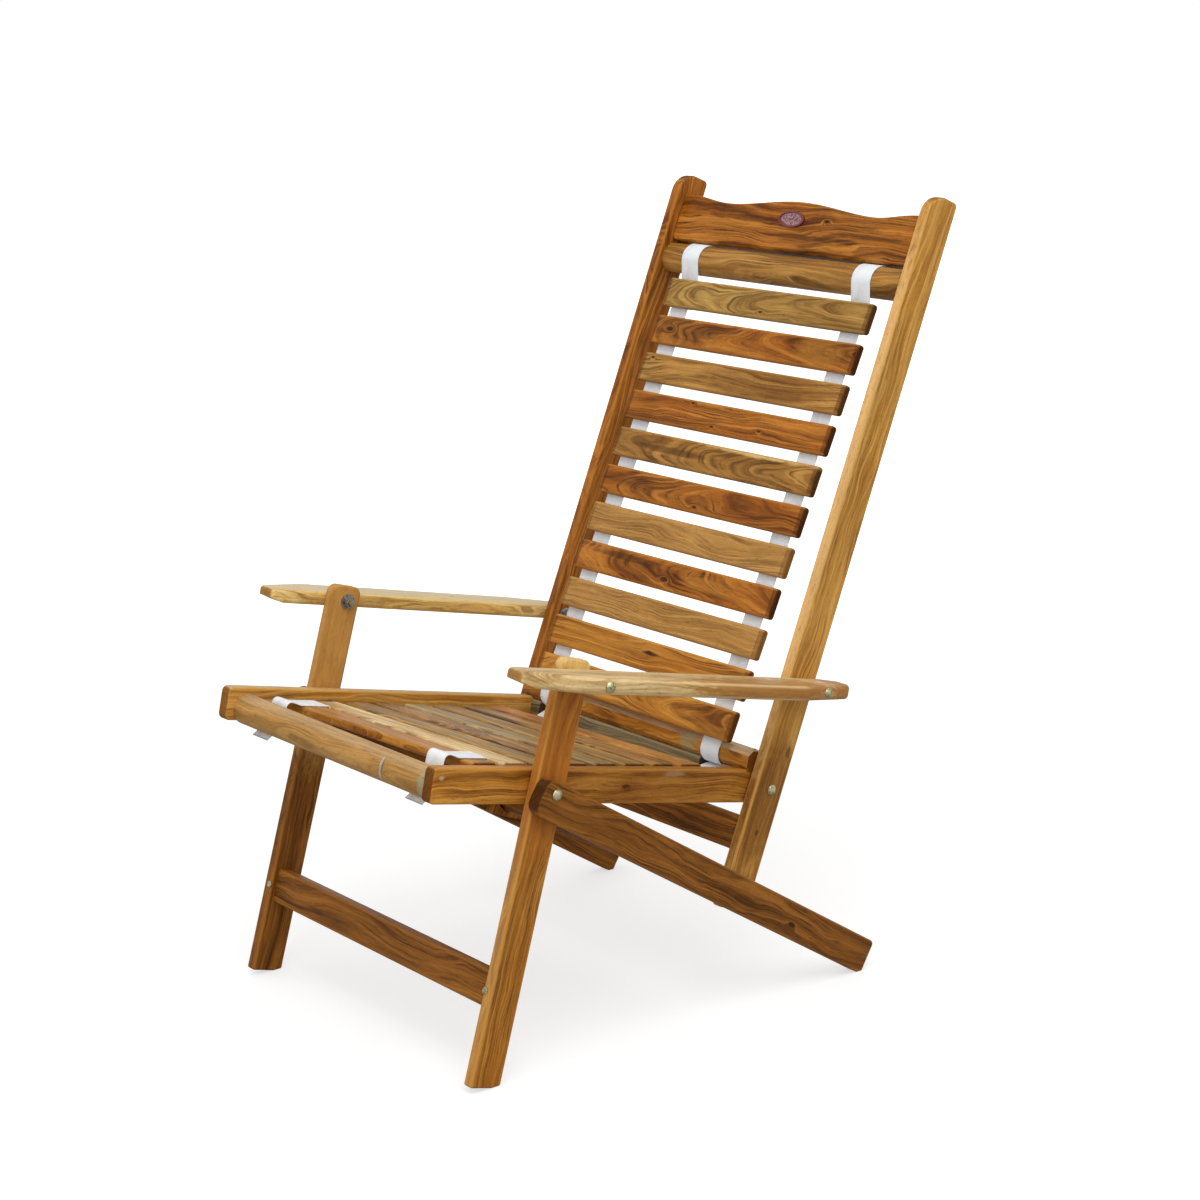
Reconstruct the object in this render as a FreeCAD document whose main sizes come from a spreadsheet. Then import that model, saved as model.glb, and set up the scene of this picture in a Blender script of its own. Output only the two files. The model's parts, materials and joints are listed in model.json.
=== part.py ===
# A folding steamer deck chair in varnished hardwood, in millimetres.
# X runs across the chair, the sitter faces -Y, and Z is up. The origin is on the
# floor under the middle of the chair. Left and right are the sitter's.
import FreeCAD
import Part
import Sketcher
import math
import os

Vector = FreeCAD.Vector
doc = FreeCAD.newDocument("steamer_chair")
sizes = doc.addObject("Spreadsheet::Sheet", "Sizes")
rows = []


def write_cell(alias, content):
    """Put one named size on the next row of the sheet."""
    rows.append(alias)
    row = len(rows)
    sizes.set("A%d" % row, alias)
    sizes.set("B%d" % row, content)
    sizes.setAlias("B%d" % row, alias)


# Driving sizes: lengths in millimetres, angles in degrees, counts
driving = {
    # pivots of the folding linkage
    "seat_slope": 11.4,
    "pivot_span": 386,
    "front_pivot_height": 362.8,
    "arm_rise": 142,
    "arm_link_lean": 19.8,
    # stack of boards on each side, from the seat outwards
    "rail_outer": 232,
    "rail_board": 18,
    "washer_gap": 2,
    "leg_board": 16,
    "side_play": 0.5,
    "strut_board": 20.5,
    "arm_width": 60.5,
    # seat rails
    "rail_depth": 44.5,
    "rail_lift": 0.6,
    "rail_nose": 31,
    "rail_tail": 24,
    "rail_corner": 8,
    "rail_tail_corner": 14,
    # front legs
    "post_lean": 15.5,
    "post_width": 46.5,
    "post_front": 16.5,
    "post_horn": 20.5,
    "post_top_corner": 11,
    "foot_land": 13,
    "foot_corner": 3,
    # back uprights
    "upright_lean": 21.5,
    "upright_width": 51.2,
    "upright_front": 29.5,
    "upright_horn": 28,
    "upright_front_crown": 28,
    "upright_rear_crown": 6,
    "upright_lip": 20.5,
    # rear struts and the dowel that the uprights hook on
    "strut_width": 47.5,
    "strut_drop": 8.8,
    "strut_head": 20.5,
    "strut_head_corner": 15,
    "strut_foot_corner": 6,
    "strut_land": 9,
    "hook_drop": 143,
    "hook_depth": 28,
    "hook_rise": 25,
    "hook_gap": 1.2,
    "hook_mouth": 5,
    "dowel_diameter": 22,
    "dowel_tenon": 12,
    # arms
    "arm_board": 20,
    "arm_front": 114,
    "arm_nose": 28,
    "arm_nose_corner": 8,
    "arm_nose_thin": 8,
    "arm_nose_slope": 26,
    "arm_flare": 82,
    "arm_flare_corner": 70,
    "arm_rear": 53,
    "arm_taper": 105,
    "arm_taper_in": 21,
    "arm_taper_corner": 120,
    "arm_heel": 27,
    "arm_heel_in": 13,
    "arm_heel_corner": 14,
    "arm_seat_cut": 12,
    "arm_seat_gap": 0.5,
    "arm_edge": 6,
    # bars of the seat
    "front_bar_diameter": 40,
    "front_bar_ahead": 129,
    "front_bar_drop": 5.5,
    "front_bar_tenon": 12,
    "front_bar_tenon_diameter": 24,
    "rear_bar_width": 32,
    "rear_bar_height": 28,
    "rear_bar_chamfer": 7,
    "rear_bar_ahead": 19.5,
    "rear_bar_seat": 3.2,
    # rail under the rear bar, with a notch for each strap
    "rear_rail_front": 353,
    "rear_rail_board": 20,
    "rear_rail_low": -10,
    "rear_rail_gap": 0.5,
    "rear_rail_tenon": 5,
    "rear_rail_notch": 20,
    "rear_rail_notch_side": 3,
    # cross rails of the back and of the front legs
    "rail_tenon": 8,
    "tenon_gap": 0.15,
    "top_bar_diameter": 43,
    "top_bar_height": 684,
    "top_bar_depth": 28,
    "top_bar_tenon_diameter": 24,
    "low_rail_height": 45,
    "low_rail_board": 20,
    "low_rail_drop": 66,
    "low_rail_inset": 4.5,
    "stretcher_height": 45,
    "stretcher_board": 20,
    "stretcher_drop": 252.5,
    "stretcher_inset": 8,
    "cross_edge": 3,
    # crest rail with its hump and two dips
    "crest_above_bar": 24,
    "crest_end": 70,
    "crest_dip": 62,
    "crest_dip_place": 155,
    "crest_hump": 73,
    "crest_board": 22,
    "crest_inset": 16,
    "crest_corner": 5,
    "crest_bevel": 5,
    "crest_bevel_end": 1.5,
    # oval plaque
    "plaque_length": 49,
    "plaque_height": 23,
    "plaque_thick": 1.6,
    "plaque_rise": 46.5,
    "plaque_aside": 7,
    "plaque_rim": 2.2,
    "plaque_rim_thick": 0.8,
    # slats of the back and of the seat
    "slat_board": 12,
    "slat_edge": 4,
    "slat_end_edge": 3.5,
    "back_slat_width": 42,
    "back_slat_gap": 14,
    "back_slat_count": 11,
    "back_slat_first": 32.5,
    "back_slat_last": 56.1,
    "mat_setback": 8.3,
    "seat_slat_width": 38.5,
    "seat_slat_gap": 12,
    "seat_slat_count": 8,
    "seat_slat_start": 68,
    "seat_slat_stop": 84.5,
    "seat_slat_sink": 6.6,
    "seat_tilt": 1.8,
    # webbing
    "web_width": 35,
    "web_thick": 1.5,
    "web_inset": 45.5,
    "web_shift": 5.5,
    "web_gap": 0.3,
    "web_tight": 3,
    "web_knee": 6,
    "web_bend": 7.5,
    "web_sweep": 30,
    "back_web_over": 9.6,
    "tongue_gap": 5.6,
    "tongue_knee": 11.5,
    "tongue_end": 30,
    "top_web_tail": 40,
    "top_web_droop": 16,
    "seat_web_bulge": 6,
    "seat_web_leave": -5,
    "seat_web_tail": 8,
    "seat_web_slack": 33,
    "seat_web_sag": 5,
    "seat_web_wrap": 75,
    "loop_end": 40,
    # bolts, washers, nuts and screws
    "bolt_diameter": 8,
    "bolt_head_diameter": 14.5,
    "bolt_head_height": 5,
    "bolt_head_brim": 1,
    "washer_diameter": 21,
    "washer_thick": 1.5,
    "nut_width": 13,
    "nut_height": 6.5,
    "bolt_end": 2.5,
    "pivot_fit": 0.05,
    "open_pivot_gap": 0.4,
    "screw_diameter": 4.5,
    "screw_head_diameter": 9,
    "screw_head_height": 1.6,
    "screw_head_round": 0.7,
    "screw_length": 38,
    "staple_length": 9,
    "staple_width": 1.3,
    "staple_thick": 0.9,
    "staple_spacing": 12,
    "staple_place": 25,
    # rounding of the boards' long edges
    "board_edge": 3,
}
for alias, number in driving.items():
    write_cell(alias, str(number))

# Sizes worked out from the driving ones
worked_out = {
    "centre_shift": "0",
    "post_inner": "=rail_outer + washer_gap",
    "post_outer": "=post_inner + leg_board",
    "strut_inner": "=post_outer + side_play",
    "strut_outer": "=strut_inner + strut_board",
    "arm_outer": "=strut_inner + arm_width",
    "rail_inner": "=rail_outer - rail_board",
    "front_pivot_back": "=centre_shift",
    "rear_pivot_back": "=centre_shift + pivot_span * cos(seat_slope)",
    "rear_pivot_height": "=front_pivot_height - pivot_span * sin(seat_slope)",
    "arm_pivot_back": "=front_pivot_back + arm_rise * sin(arm_link_lean)",
    "arm_pivot_height": "=front_pivot_height + arm_rise * cos(arm_link_lean)",
    "hook_behind": "=hook_depth - upright_front",
    "dowel_run": "=pivot_span * cos(seat_slope) - hook_drop * sin(upright_lean)"
                 " + hook_behind * cos(upright_lean)",
    "dowel_fall": "=pivot_span * sin(seat_slope) + hook_drop * cos(upright_lean)"
                  " + hook_behind * sin(upright_lean)",
    "dowel_reach": "=sqrt(dowel_run * dowel_run + dowel_fall * dowel_fall)",
    "strut_slope": "=(atan2(dowel_fall; dowel_run) - asin(strut_drop / dowel_reach)) / 1 deg",
    "strut_below": "=strut_width / 2 + strut_drop",
    "strut_foot": "=(front_pivot_height - strut_below * cos(strut_slope)) / sin(strut_slope)",
    "post_behind": "=post_width - post_front",
    "post_heel": "=(front_pivot_height - post_behind * sin(post_lean)) / cos(post_lean)",
    "rail_front": "=front_bar_ahead + rail_nose",
    "post_top": "=arm_rise + post_horn",
    "upright_tail": "=hook_drop + upright_lip",
    "crest_bottom": "=top_bar_height + crest_above_bar",
    "upright_top": "=crest_bottom + crest_end + upright_horn",
    "rear_bar_place": "=pivot_span - rear_bar_ahead",
    "rail_top": "=rail_lift + rail_depth / 2",
    "rail_bottom": "=rail_lift - rail_depth / 2",
    "rear_bar_rise": "=rail_top - rear_bar_seat + rear_bar_height / 2",
    "rear_rail_top": "=rail_top - rear_bar_seat - rear_rail_gap",
    "mat_back": "=centre_shift + rear_bar_place * cos(seat_slope) + rear_bar_rise * sin(seat_slope)",
    "mat_height": "=front_pivot_height - rear_bar_place * sin(seat_slope)"
                  " + rear_bar_rise * cos(seat_slope)",
    "bar_corner_wide": "=sqrt(pow(rear_bar_width / 2; 2)"
                       " + pow(rear_bar_height / 2 - rear_bar_chamfer; 2))",
    "bar_corner_high": "=sqrt(pow(rear_bar_height / 2; 2)"
                       " + pow(rear_bar_width / 2 - rear_bar_chamfer; 2))",
    "loop_inner": "=max(bar_corner_wide; bar_corner_high) + web_gap",
    "loop_outer": "=loop_inner + web_thick",
    "top_bar_behind": "=top_bar_depth - upright_front",
    "mat_run": "=rear_pivot_back + top_bar_height * sin(upright_lean)"
               " + top_bar_behind * cos(upright_lean) - mat_back",
    "mat_rise": "=rear_pivot_height + top_bar_height * cos(upright_lean)"
                " - top_bar_behind * sin(upright_lean) - mat_height",
    "mat_reach": "=sqrt(mat_run * mat_run + mat_rise * mat_rise)",
    "mat_lean": "=(atan2(mat_run; mat_rise) + asin(mat_setback / mat_reach)) / 1 deg",
    "mat_length": "=sqrt(mat_reach * mat_reach - mat_setback * mat_setback)",
    "back_slat_pitch": "=(mat_length - back_slat_first - back_slat_last)"
                       " / (back_slat_count - 1)",
    "back_slat_length": "=2 * (rail_inner - back_slat_gap)",
    "seat_slat_length": "=2 * (rail_inner - seat_slat_gap)",
    "seat_slat_first": "=seat_slat_start - front_bar_ahead",
    "seat_slat_pitch": "=(rear_bar_place - seat_slat_stop - seat_slat_first)"
                       " / (seat_slat_count - 1)",
    "web_place": "=rail_inner - web_inset",
    "seat_slat_top": "=rail_top - seat_slat_sink",
    "seat_slat_bottom": "=seat_slat_top - slat_board",
    "front_bar_place": "=0 - front_bar_ahead",
}
for alias, formula in worked_out.items():
    write_cell(alias, formula)
doc.recompute()


def size(alias):
    """The present value of a named size."""
    return float(getattr(sizes, alias))


def of(text):
    """Turn bare names in an expression into cells of the sheet."""
    words = []
    word = ""
    for letter in text + " ":
        if letter.isalnum() or letter == "_":
            word += letter
            continue
        words.append("Sizes." + word if word in rows else word)
        words.append(letter)
        word = ""
    return "".join(words).strip()


def number(text):
    """The value of an expression over named sizes."""
    return float(sizes.evalExpression(of(text)))


# Frames: each is a lean backwards in degrees and the place of its pivot
FRAMES = {
    "seat": ("seat_slope", "front_pivot_back", "front_pivot_height"),
    "post": ("post_lean", "front_pivot_back", "front_pivot_height"),
    "upright": ("upright_lean", "rear_pivot_back", "rear_pivot_height"),
    "strut": ("strut_slope", "front_pivot_back", "front_pivot_height"),
    "arm": ("seat_slope", "arm_pivot_back", "arm_pivot_height"),
    "mat": ("mat_lean", "mat_back", "mat_height"),
}
ACROSS = Vector(1, 0, 0)
bodies = []
coded = []


def frame_placement(frame):
    """Where a frame stands now, as a placement."""
    lean, back, height = (size(alias) for alias in FRAMES[frame])
    turn = FreeCAD.Rotation(ACROSS, -lean)
    return FreeCAD.Placement(Vector(0, back, height), turn)


def new_body(label, frame):
    """An empty body whose placement follows its frame's cells."""
    body = doc.addObject("PartDesign::Body", label)
    body.Label = label
    body.Placement = frame_placement(frame)
    lean, back, height = FRAMES[frame]
    body.setExpression("Placement.Rotation.Angle", of("0 - " + lean))
    body.setExpression("Placement.Base.y", of(back))
    body.setExpression("Placement.Base.z", of(height))
    bodies.append(body)
    return body


def new_sketch(body, role, offset, tilt=None):
    """A sketch on one of the body's own planes, moved along its normal.

    A tilt is an angle by which the sketch's own Y axis and normal turn first.
    """
    sketch = body.newObject("Sketcher::SketchObject", body.Name + "_sketch")
    plane = [item for item in body.Origin.OriginFeatures if item.Role == role][0]
    sketch.AttachmentSupport = [(plane, "")]
    sketch.MapMode = "FlatFace"
    if tilt is None:
        sketch.setExpression("AttachmentOffset.Base.z", of(offset))
        return sketch
    turn = FreeCAD.Rotation(Vector(1, 0, 0), -number(tilt))
    sketch.AttachmentOffset = FreeCAD.Placement(Vector(0, 0, 0), turn)
    sketch.setExpression("AttachmentOffset.Rotation.Angle", of("0 - " + tilt))
    sketch.setExpression("AttachmentOffset.Base.z", of("(%s) * cos(%s)" % (offset, tilt)))
    sketch.setExpression("AttachmentOffset.Base.y", of("(%s) * sin(%s)" % (offset, tilt)))
    return sketch


def pin_point(sketch, item, end, across, up):
    """Hold one point of a sketch at two expressions from the origin."""
    for kind, text, axis in (("DistanceX", across, -2), ("DistanceY", up, -1)):
        value = number(text)
        if text == "0":
            sketch.addConstraint(Sketcher.Constraint("PointOnObject", item, end, axis))
            continue
        place = sketch.addConstraint(Sketcher.Constraint(kind, -1, 1, item, end, value))
        sketch.setExpression("Constraints[%d]" % place, of(text))


def draw_outline(sketch, corners):
    """A closed outline through corners given as pairs of expressions."""
    points = [Vector(number(across), number(up), 0) for across, up in corners]
    count = len(points)
    for index in range(count):
        sketch.addGeometry(Part.LineSegment(points[index], points[(index + 1) % count]), False)
    for index in range(count):
        follower = (index + 1) % count
        sketch.addConstraint(Sketcher.Constraint("Coincident", index, 2, follower, 1))
    for index, (across, up) in enumerate(corners):
        pin_point(sketch, index, 1, across, up)


def draw_circle(sketch, across, up, diameter):
    """A circle whose centre and diameter follow expressions."""
    centre = Vector(number(across), number(up), 0)
    item = sketch.addGeometry(Part.Circle(centre, Vector(0, 0, 1), number(diameter) / 2), False)
    pin_point(sketch, item, 3, across, up)
    place = sketch.addConstraint(Sketcher.Constraint("Diameter", item, number(diameter)))
    sketch.setExpression("Constraints[%d]" % place, of(diameter))


def add_feature(body, kind, sketch, length):
    """A pad or a pocket of a sketch, checked by its volume."""
    doc.recompute()
    before = body.Shape.Volume if body.Tip else 0
    feature = body.newObject("PartDesign::" + kind, body.Name + "_" + kind.lower())
    feature.Profile = sketch
    feature.setExpression("Length", of(length))
    sketch.Visibility = False
    doc.recompute()
    grown = body.Shape.Volume - before
    if grown * (1 if kind == "Pad" else -1) <= 0:
        raise RuntimeError("%s does nothing on %s" % (kind, body.Label))
    return feature


def pick_edges(body, test):
    """Names of the tip's edges that pass a test."""
    edges = body.Tip.Shape.Edges
    return ["Edge%d" % (place + 1) for place, edge in enumerate(edges) if test(edge)]


def dress(body, kind, names, amount, value="Radius"):
    """A fillet or a chamfer on named edges of the body's tip."""
    base = body.Tip
    feature = body.newObject("PartDesign::" + kind, body.Name + "_" + kind.lower())
    feature.Base = (base, names)
    feature.setExpression(value, of(amount))
    doc.recompute()
    return feature


def lies_along(edge, axis):
    """True for a straight edge parallel to X (0), Y (1) or Z (2)."""
    if edge.Curve.TypeId != "Part::GeomLine":
        return False
    first, last = edge.Vertexes[0].Point, edge.Vertexes[-1].Point
    step = last - first
    return abs(step[axis]) > 0.999 * step.Length


def round_corners(body, axis, corners):
    """Fillet the edges that stand on the outline's corners, radius by radius."""
    others = [place for place in range(3) if place != axis]
    for across, up, radius in corners:
        if radius is None:
            continue
        spot = (number(across), number(up))

        def on_corner(edge):
            if not lies_along(edge, axis):
                return False
            point = edge.Vertexes[0].Point
            return all(abs(point[place] - value) < 0.01 for place, value in zip(others, spot))

        dress(body, "Fillet", pick_edges(body, on_corner), radius)


def round_faces(body, axis, radius):
    """Fillet every edge of the two faces that are square to an axis."""
    box = body.Tip.Shape.BoundBox
    ends = [(box.XMin, box.XMax), (box.YMin, box.YMax), (box.ZMin, box.ZMax)][axis]

    def on_face(edge):
        spread = [vertex.Point[axis] for vertex in edge.Vertexes]
        middle = edge.valueAt((edge.FirstParameter + edge.LastParameter) / 2)[axis]
        spread.append(middle)
        return any(all(abs(value - end) < 0.01 for value in spread) for end in ends)

    dress(body, "Fillet", pick_edges(body, on_face), radius)


PLANES = {0: "YZ_Plane", 1: "XZ_Plane", 2: "XY_Plane"}


def make_board(label, frame, axis, low, thick, corners, edge=None, tilt=None):
    """A flat board: an outline padded along one axis, with rounded edges.

    The corners are triples of two places and a radius, in the order of the
    two other axes. The board starts at low and is thick along its axis.
    """
    body = new_body(label, frame)
    sketch = new_sketch(body, PLANES[axis], low, tilt)
    draw_outline(sketch, [corner[:2] for corner in corners])
    add_feature(body, "Pad", sketch, thick)
    round_corners(body, axis, corners)
    if edge:
        round_faces(body, axis, edge)
    return body


def drill(body, across, up, diameter, top, depth, axis=0):
    """A round hole along an axis, cut from top downwards by depth."""
    sketch = new_sketch(body, PLANES[axis], top)
    draw_circle(sketch, across, up, diameter)
    add_feature(body, "Pocket", sketch, depth)


def cut_slot(body, corners, top, depth):
    """A pocket along X with a straight-sided outline."""
    sketch = new_sketch(body, "YZ_Plane", top)
    draw_outline(sketch, corners)
    add_feature(body, "Pocket", sketch, depth)


def side_span(side, inner, outer):
    """The low face of a board between two distances from the middle."""
    return inner if side > 0 else "0 - " + outer


def side_top(side, inner, outer):
    """The high face of a board between two distances from the middle."""
    return outer if side > 0 else "0 - " + inner


def make_coded(label, shape, frame="seat"):
    """A piece shaped in code, stood in its frame."""
    item = doc.addObject("Part::Feature", label)
    item.Label = label
    item.Shape = Part.makeCompound(shape if isinstance(shape, list) else [shape])
    item.Placement = frame_placement(frame)
    coded.append((item, frame))
    return item


SIDES = (("left", 1), ("right", -1))
PIVOT_HOLE = "bolt_diameter + 2 * pivot_fit"


# Seat rails
def seat_rail(name, side):
    body = make_board(
        "seat_rail_" + name, "seat", 0,
        side_span(side, "rail_inner", "rail_outer"), "rail_board",
        [("0 - rail_front", "rail_bottom", "rail_corner"),
         ("pivot_span + rail_tail", "rail_bottom", "rail_tail_corner"),
         ("pivot_span + rail_tail", "rail_top", "rail_tail_corner"),
         ("0 - rail_front", "rail_top", "rail_corner")],
        "board_edge")
    top = side_top(side, "rail_inner", "rail_outer")
    drill(body, "0", "0", PIVOT_HOLE, top, "rail_board")
    drill(body, "pivot_span", "0", PIVOT_HOLE, top, "rail_board")
    reach = "front_bar_tenon + tenon_gap"
    start = "rail_inner + " + reach if side > 0 else "0 - rail_inner"
    drill(body, "front_bar_place", "0 - front_bar_drop",
          "front_bar_tenon_diameter + 2 * tenon_gap", start, reach)
    screw_x = "(rail_inner + rail_outer) / 2"
    # the rear bar is let into the top edge, and the rail under it into the inner face
    sunk = "(rear_bar_width / 2 - rear_bar_chamfer + rear_bar_seat + tenon_gap)"
    notch = [("rear_bar_place - " + sunk, "rail_top - rear_bar_seat"),
             ("rear_bar_place + " + sunk, "rail_top - rear_bar_seat"),
             ("rear_bar_place + " + sunk, "rail_top + rear_bar_seat"),
             ("rear_bar_place - " + sunk, "rail_top + rear_bar_seat")]
    cut_slot(body, notch, top, "rail_board")
    reach = "(rear_rail_tenon + tenon_gap)"
    start = "rail_inner + " + reach if side > 0 else "0 - rail_inner"
    cut_slot(body, rear_rail_outline("cross_edge - tenon_gap"), start, reach)
    drill(body, screw_x if side > 0 else "0 - " + screw_x, "rear_bar_place",
          "screw_diameter", "rail_top - rear_bar_seat",
          "screw_length - rear_bar_height", axis=2)
    return body


def rear_rail_outline(inset):
    """Corners of the rail under the rear bar, drawn in from its faces."""
    near = "rear_rail_front + " + inset
    far = "rear_rail_front + rear_rail_board - (%s)" % inset
    low, high = "rear_rail_low + " + inset, "rear_rail_top - (%s)" % inset
    return [(near, low), (far, low), (far, high), (near, high)]


def rear_seat_rail():
    """A rail between the seat rails, tenoned at both ends, notched for the straps."""
    body = make_board("rear_seat_rail", "seat", 0, "0 - rail_inner", "2 * rail_inner",
                      [corner + (None,) for corner in rear_rail_outline("0")])
    dress(body, "Fillet", pick_edges(body, lambda edge: lies_along(edge, 0)), "cross_edge")
    sketch = new_sketch(body, "YZ_Plane", "0 - rail_inner - rear_rail_tenon")
    draw_outline(sketch, rear_rail_outline("cross_edge"))
    add_feature(body, "Pad", sketch, "2 * rail_inner + 2 * rear_rail_tenon")
    low, high = "rear_rail_top - rear_rail_notch", "rear_rail_top + rear_rail_notch"
    near, far = "rear_rail_front - rear_rail_board", "rear_rail_front + 2 * rear_rail_board"
    wide = "(web_width + 2 * rear_rail_notch_side)"
    for side in ("web_place", "0 - web_place"):
        cut_slot(body, [(near, low), (far, low), (far, high), (near, high)],
                 "%s - web_shift + %s / 2" % (side, wide), wide)
    return body


# Bars across the seat
def round_bar(label, frame, across, up, diameter, half, tenon_diameter, tenon):
    """A round bar with a thinner tenon at each end."""
    body = new_body(label, frame)
    sketch = new_sketch(body, "YZ_Plane", "0 - " + half)
    draw_circle(sketch, across, up, diameter)
    add_feature(body, "Pad", sketch, "2 * " + half)
    sketch = new_sketch(body, "YZ_Plane", "0 - %s - %s" % (half, tenon))
    draw_circle(sketch, across, up, tenon_diameter)
    add_feature(body, "Pad", sketch, "2 * %s + 2 * %s" % (half, tenon))
    return body


def rear_seat_bar():
    half_wide, half_high, cut = "rear_bar_width / 2", "rear_bar_height / 2", "rear_bar_chamfer"
    middle, rise = "rear_bar_place", "rear_bar_rise"
    near, far = "%s - %s" % (middle, half_wide), "%s + %s" % (middle, half_wide)
    low, high = "%s - %s" % (rise, half_high), "%s + %s" % (rise, half_high)
    corners = [(near + " + " + cut, low), (far + " - " + cut, low),
               (far, low + " + " + cut), (far, high + " - " + cut),
               (far + " - " + cut, high), (near + " + " + cut, high),
               (near, high + " - " + cut), (near, low + " + " + cut)]
    body = make_board("rear_seat_bar", "seat", 0, "0 - post_inner + web_gap",
                      "2 * post_inner - 2 * web_gap",
                      [corner + (None,) for corner in corners])
    for side in (1, -1):
        screw_x = "(rail_inner + rail_outer) / 2"
        drill(body, screw_x if side > 0 else "0 - " + screw_x, middle,
              "screw_diameter", high, "rear_bar_height", axis=2)
    return body


# Slats
def make_slat(label, frame, length, back, low_back, up, low_up, tilt=None):
    """One slat across the chair with eased long edges and rounded ends."""
    half = length + " / 2"
    body = make_board(
        label, frame, 0, "0 - " + half, length,
        [(low_back, low_up, None), (low_back + " + " + back, low_up, None),
         (low_back + " + " + back, low_up + " + " + up, None),
         (low_back, low_up + " + " + up, None)], tilt=tilt)
    dress(body, "Fillet", pick_edges(body, lambda edge: lies_along(edge, 0)), "slat_edge")

    def at_end(edge):
        middle = edge.valueAt((edge.FirstParameter + edge.LastParameter) / 2).x
        return abs(middle) > number(half) / 2

    dress(body, "Fillet", pick_edges(body, at_end), "slat_end_edge")
    return body


def seat_slat(place):
    middle = "seat_slat_first + %d * seat_slat_pitch" % place
    make_slat("seat_slat_%d" % (place + 1), "seat", "seat_slat_length",
              "seat_slat_width", middle + " - seat_slat_width / 2",
              "slat_board", "seat_slat_bottom", "seat_tilt")


def back_slat(place):
    step = int(size("back_slat_count")) - 1 - place
    middle = "back_slat_first + %d * back_slat_pitch" % step
    make_slat("back_slat_%d" % (place + 1), "mat", "back_slat_length",
              "slat_board", "0 - loop_outer - slat_board",
              "back_slat_width", middle + " - back_slat_width / 2")


# Front legs
def front_post(name, side):
    heel = "foot_land * sin(post_lean)"
    body = make_board(
        "front_post_" + name, "post", 0,
        side_span(side, "post_inner", "post_outer"), "leg_board",
        [("0 - post_front", "0 - post_heel - " + heel, "foot_corner"),
         ("post_behind - foot_land * cos(post_lean)", "0 - post_heel - " + heel, "foot_corner"),
         ("post_behind", "0 - post_heel", "foot_corner"),
         ("post_behind", "post_top", "post_top_corner"),
         ("0 - post_front", "post_top", "post_top_corner")],
        "board_edge")
    top = side_top(side, "post_inner", "post_outer")
    drill(body, "0", "0", PIVOT_HOLE, top, "leg_board")
    lean = "(arm_link_lean - post_lean)"
    drill(body, "arm_rise * sin%s" % lean, "arm_rise * cos%s" % lean,
          PIVOT_HOLE, top, "leg_board")
    mortise(body, side, "stretcher_inset - post_front", "stretcher_board",
            "0 - stretcher_drop - stretcher_height / 2", "stretcher_height")
    screw_x = "(post_inner + rail_tenon / 2)"
    drill(body, screw_x if side > 0 else "0 - " + screw_x,
          "0 - stretcher_drop", "screw_diameter", "post_front", "screw_length", axis=1)
    return body


def mortise(body, side, back, thick, low, high):
    """A square hole in a leg's inner face for a cross rail's tenon."""
    inset = "(cross_edge - tenon_gap)"
    near, far = back + " + " + inset, back + " + " + thick + " - " + inset
    bottom, top = low + " + " + inset, low + " + " + high + " - " + inset
    reach = "(rail_tenon + tenon_gap)"
    start = "post_inner + " + reach if side > 0 else "0 - post_inner"
    cut_slot(body, [(near, bottom), (far, bottom), (far, top), (near, top)], start, reach)


def cross_rail(label, frame, back, thick, low, high):
    """A board between two legs with a tenon on each end."""
    far, top = back + " + " + thick, low + " + " + high
    body = make_board(label, frame, 0, "0 - post_inner", "2 * post_inner",
                      [(back, low, None), (far, low, None), (far, top, None), (back, top, None)])
    dress(body, "Fillet", pick_edges(body, lambda edge: lies_along(edge, 0)), "cross_edge")
    sketch = new_sketch(body, "YZ_Plane", "0 - post_inner - rail_tenon")
    inset = "cross_edge"
    near, far = back + " + " + inset, far + " - " + inset
    low, top = low + " + " + inset, top + " - " + inset
    draw_outline(sketch, [(near, low), (far, low), (far, top), (near, top)])
    add_feature(body, "Pad", sketch, "2 * post_inner + 2 * rail_tenon")
    return body


def front_stretcher():
    body = cross_rail("front_stretcher", "post", "stretcher_inset - post_front",
                      "stretcher_board", "0 - stretcher_drop - stretcher_height / 2",
                      "stretcher_height")
    for side in (1, -1):
        screw_x = "(post_inner + rail_tenon / 2)"
        drill(body, screw_x if side > 0 else "0 - " + screw_x,
              "0 - stretcher_drop", "screw_diameter", "post_front", "screw_length", axis=1)
    return body


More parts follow.
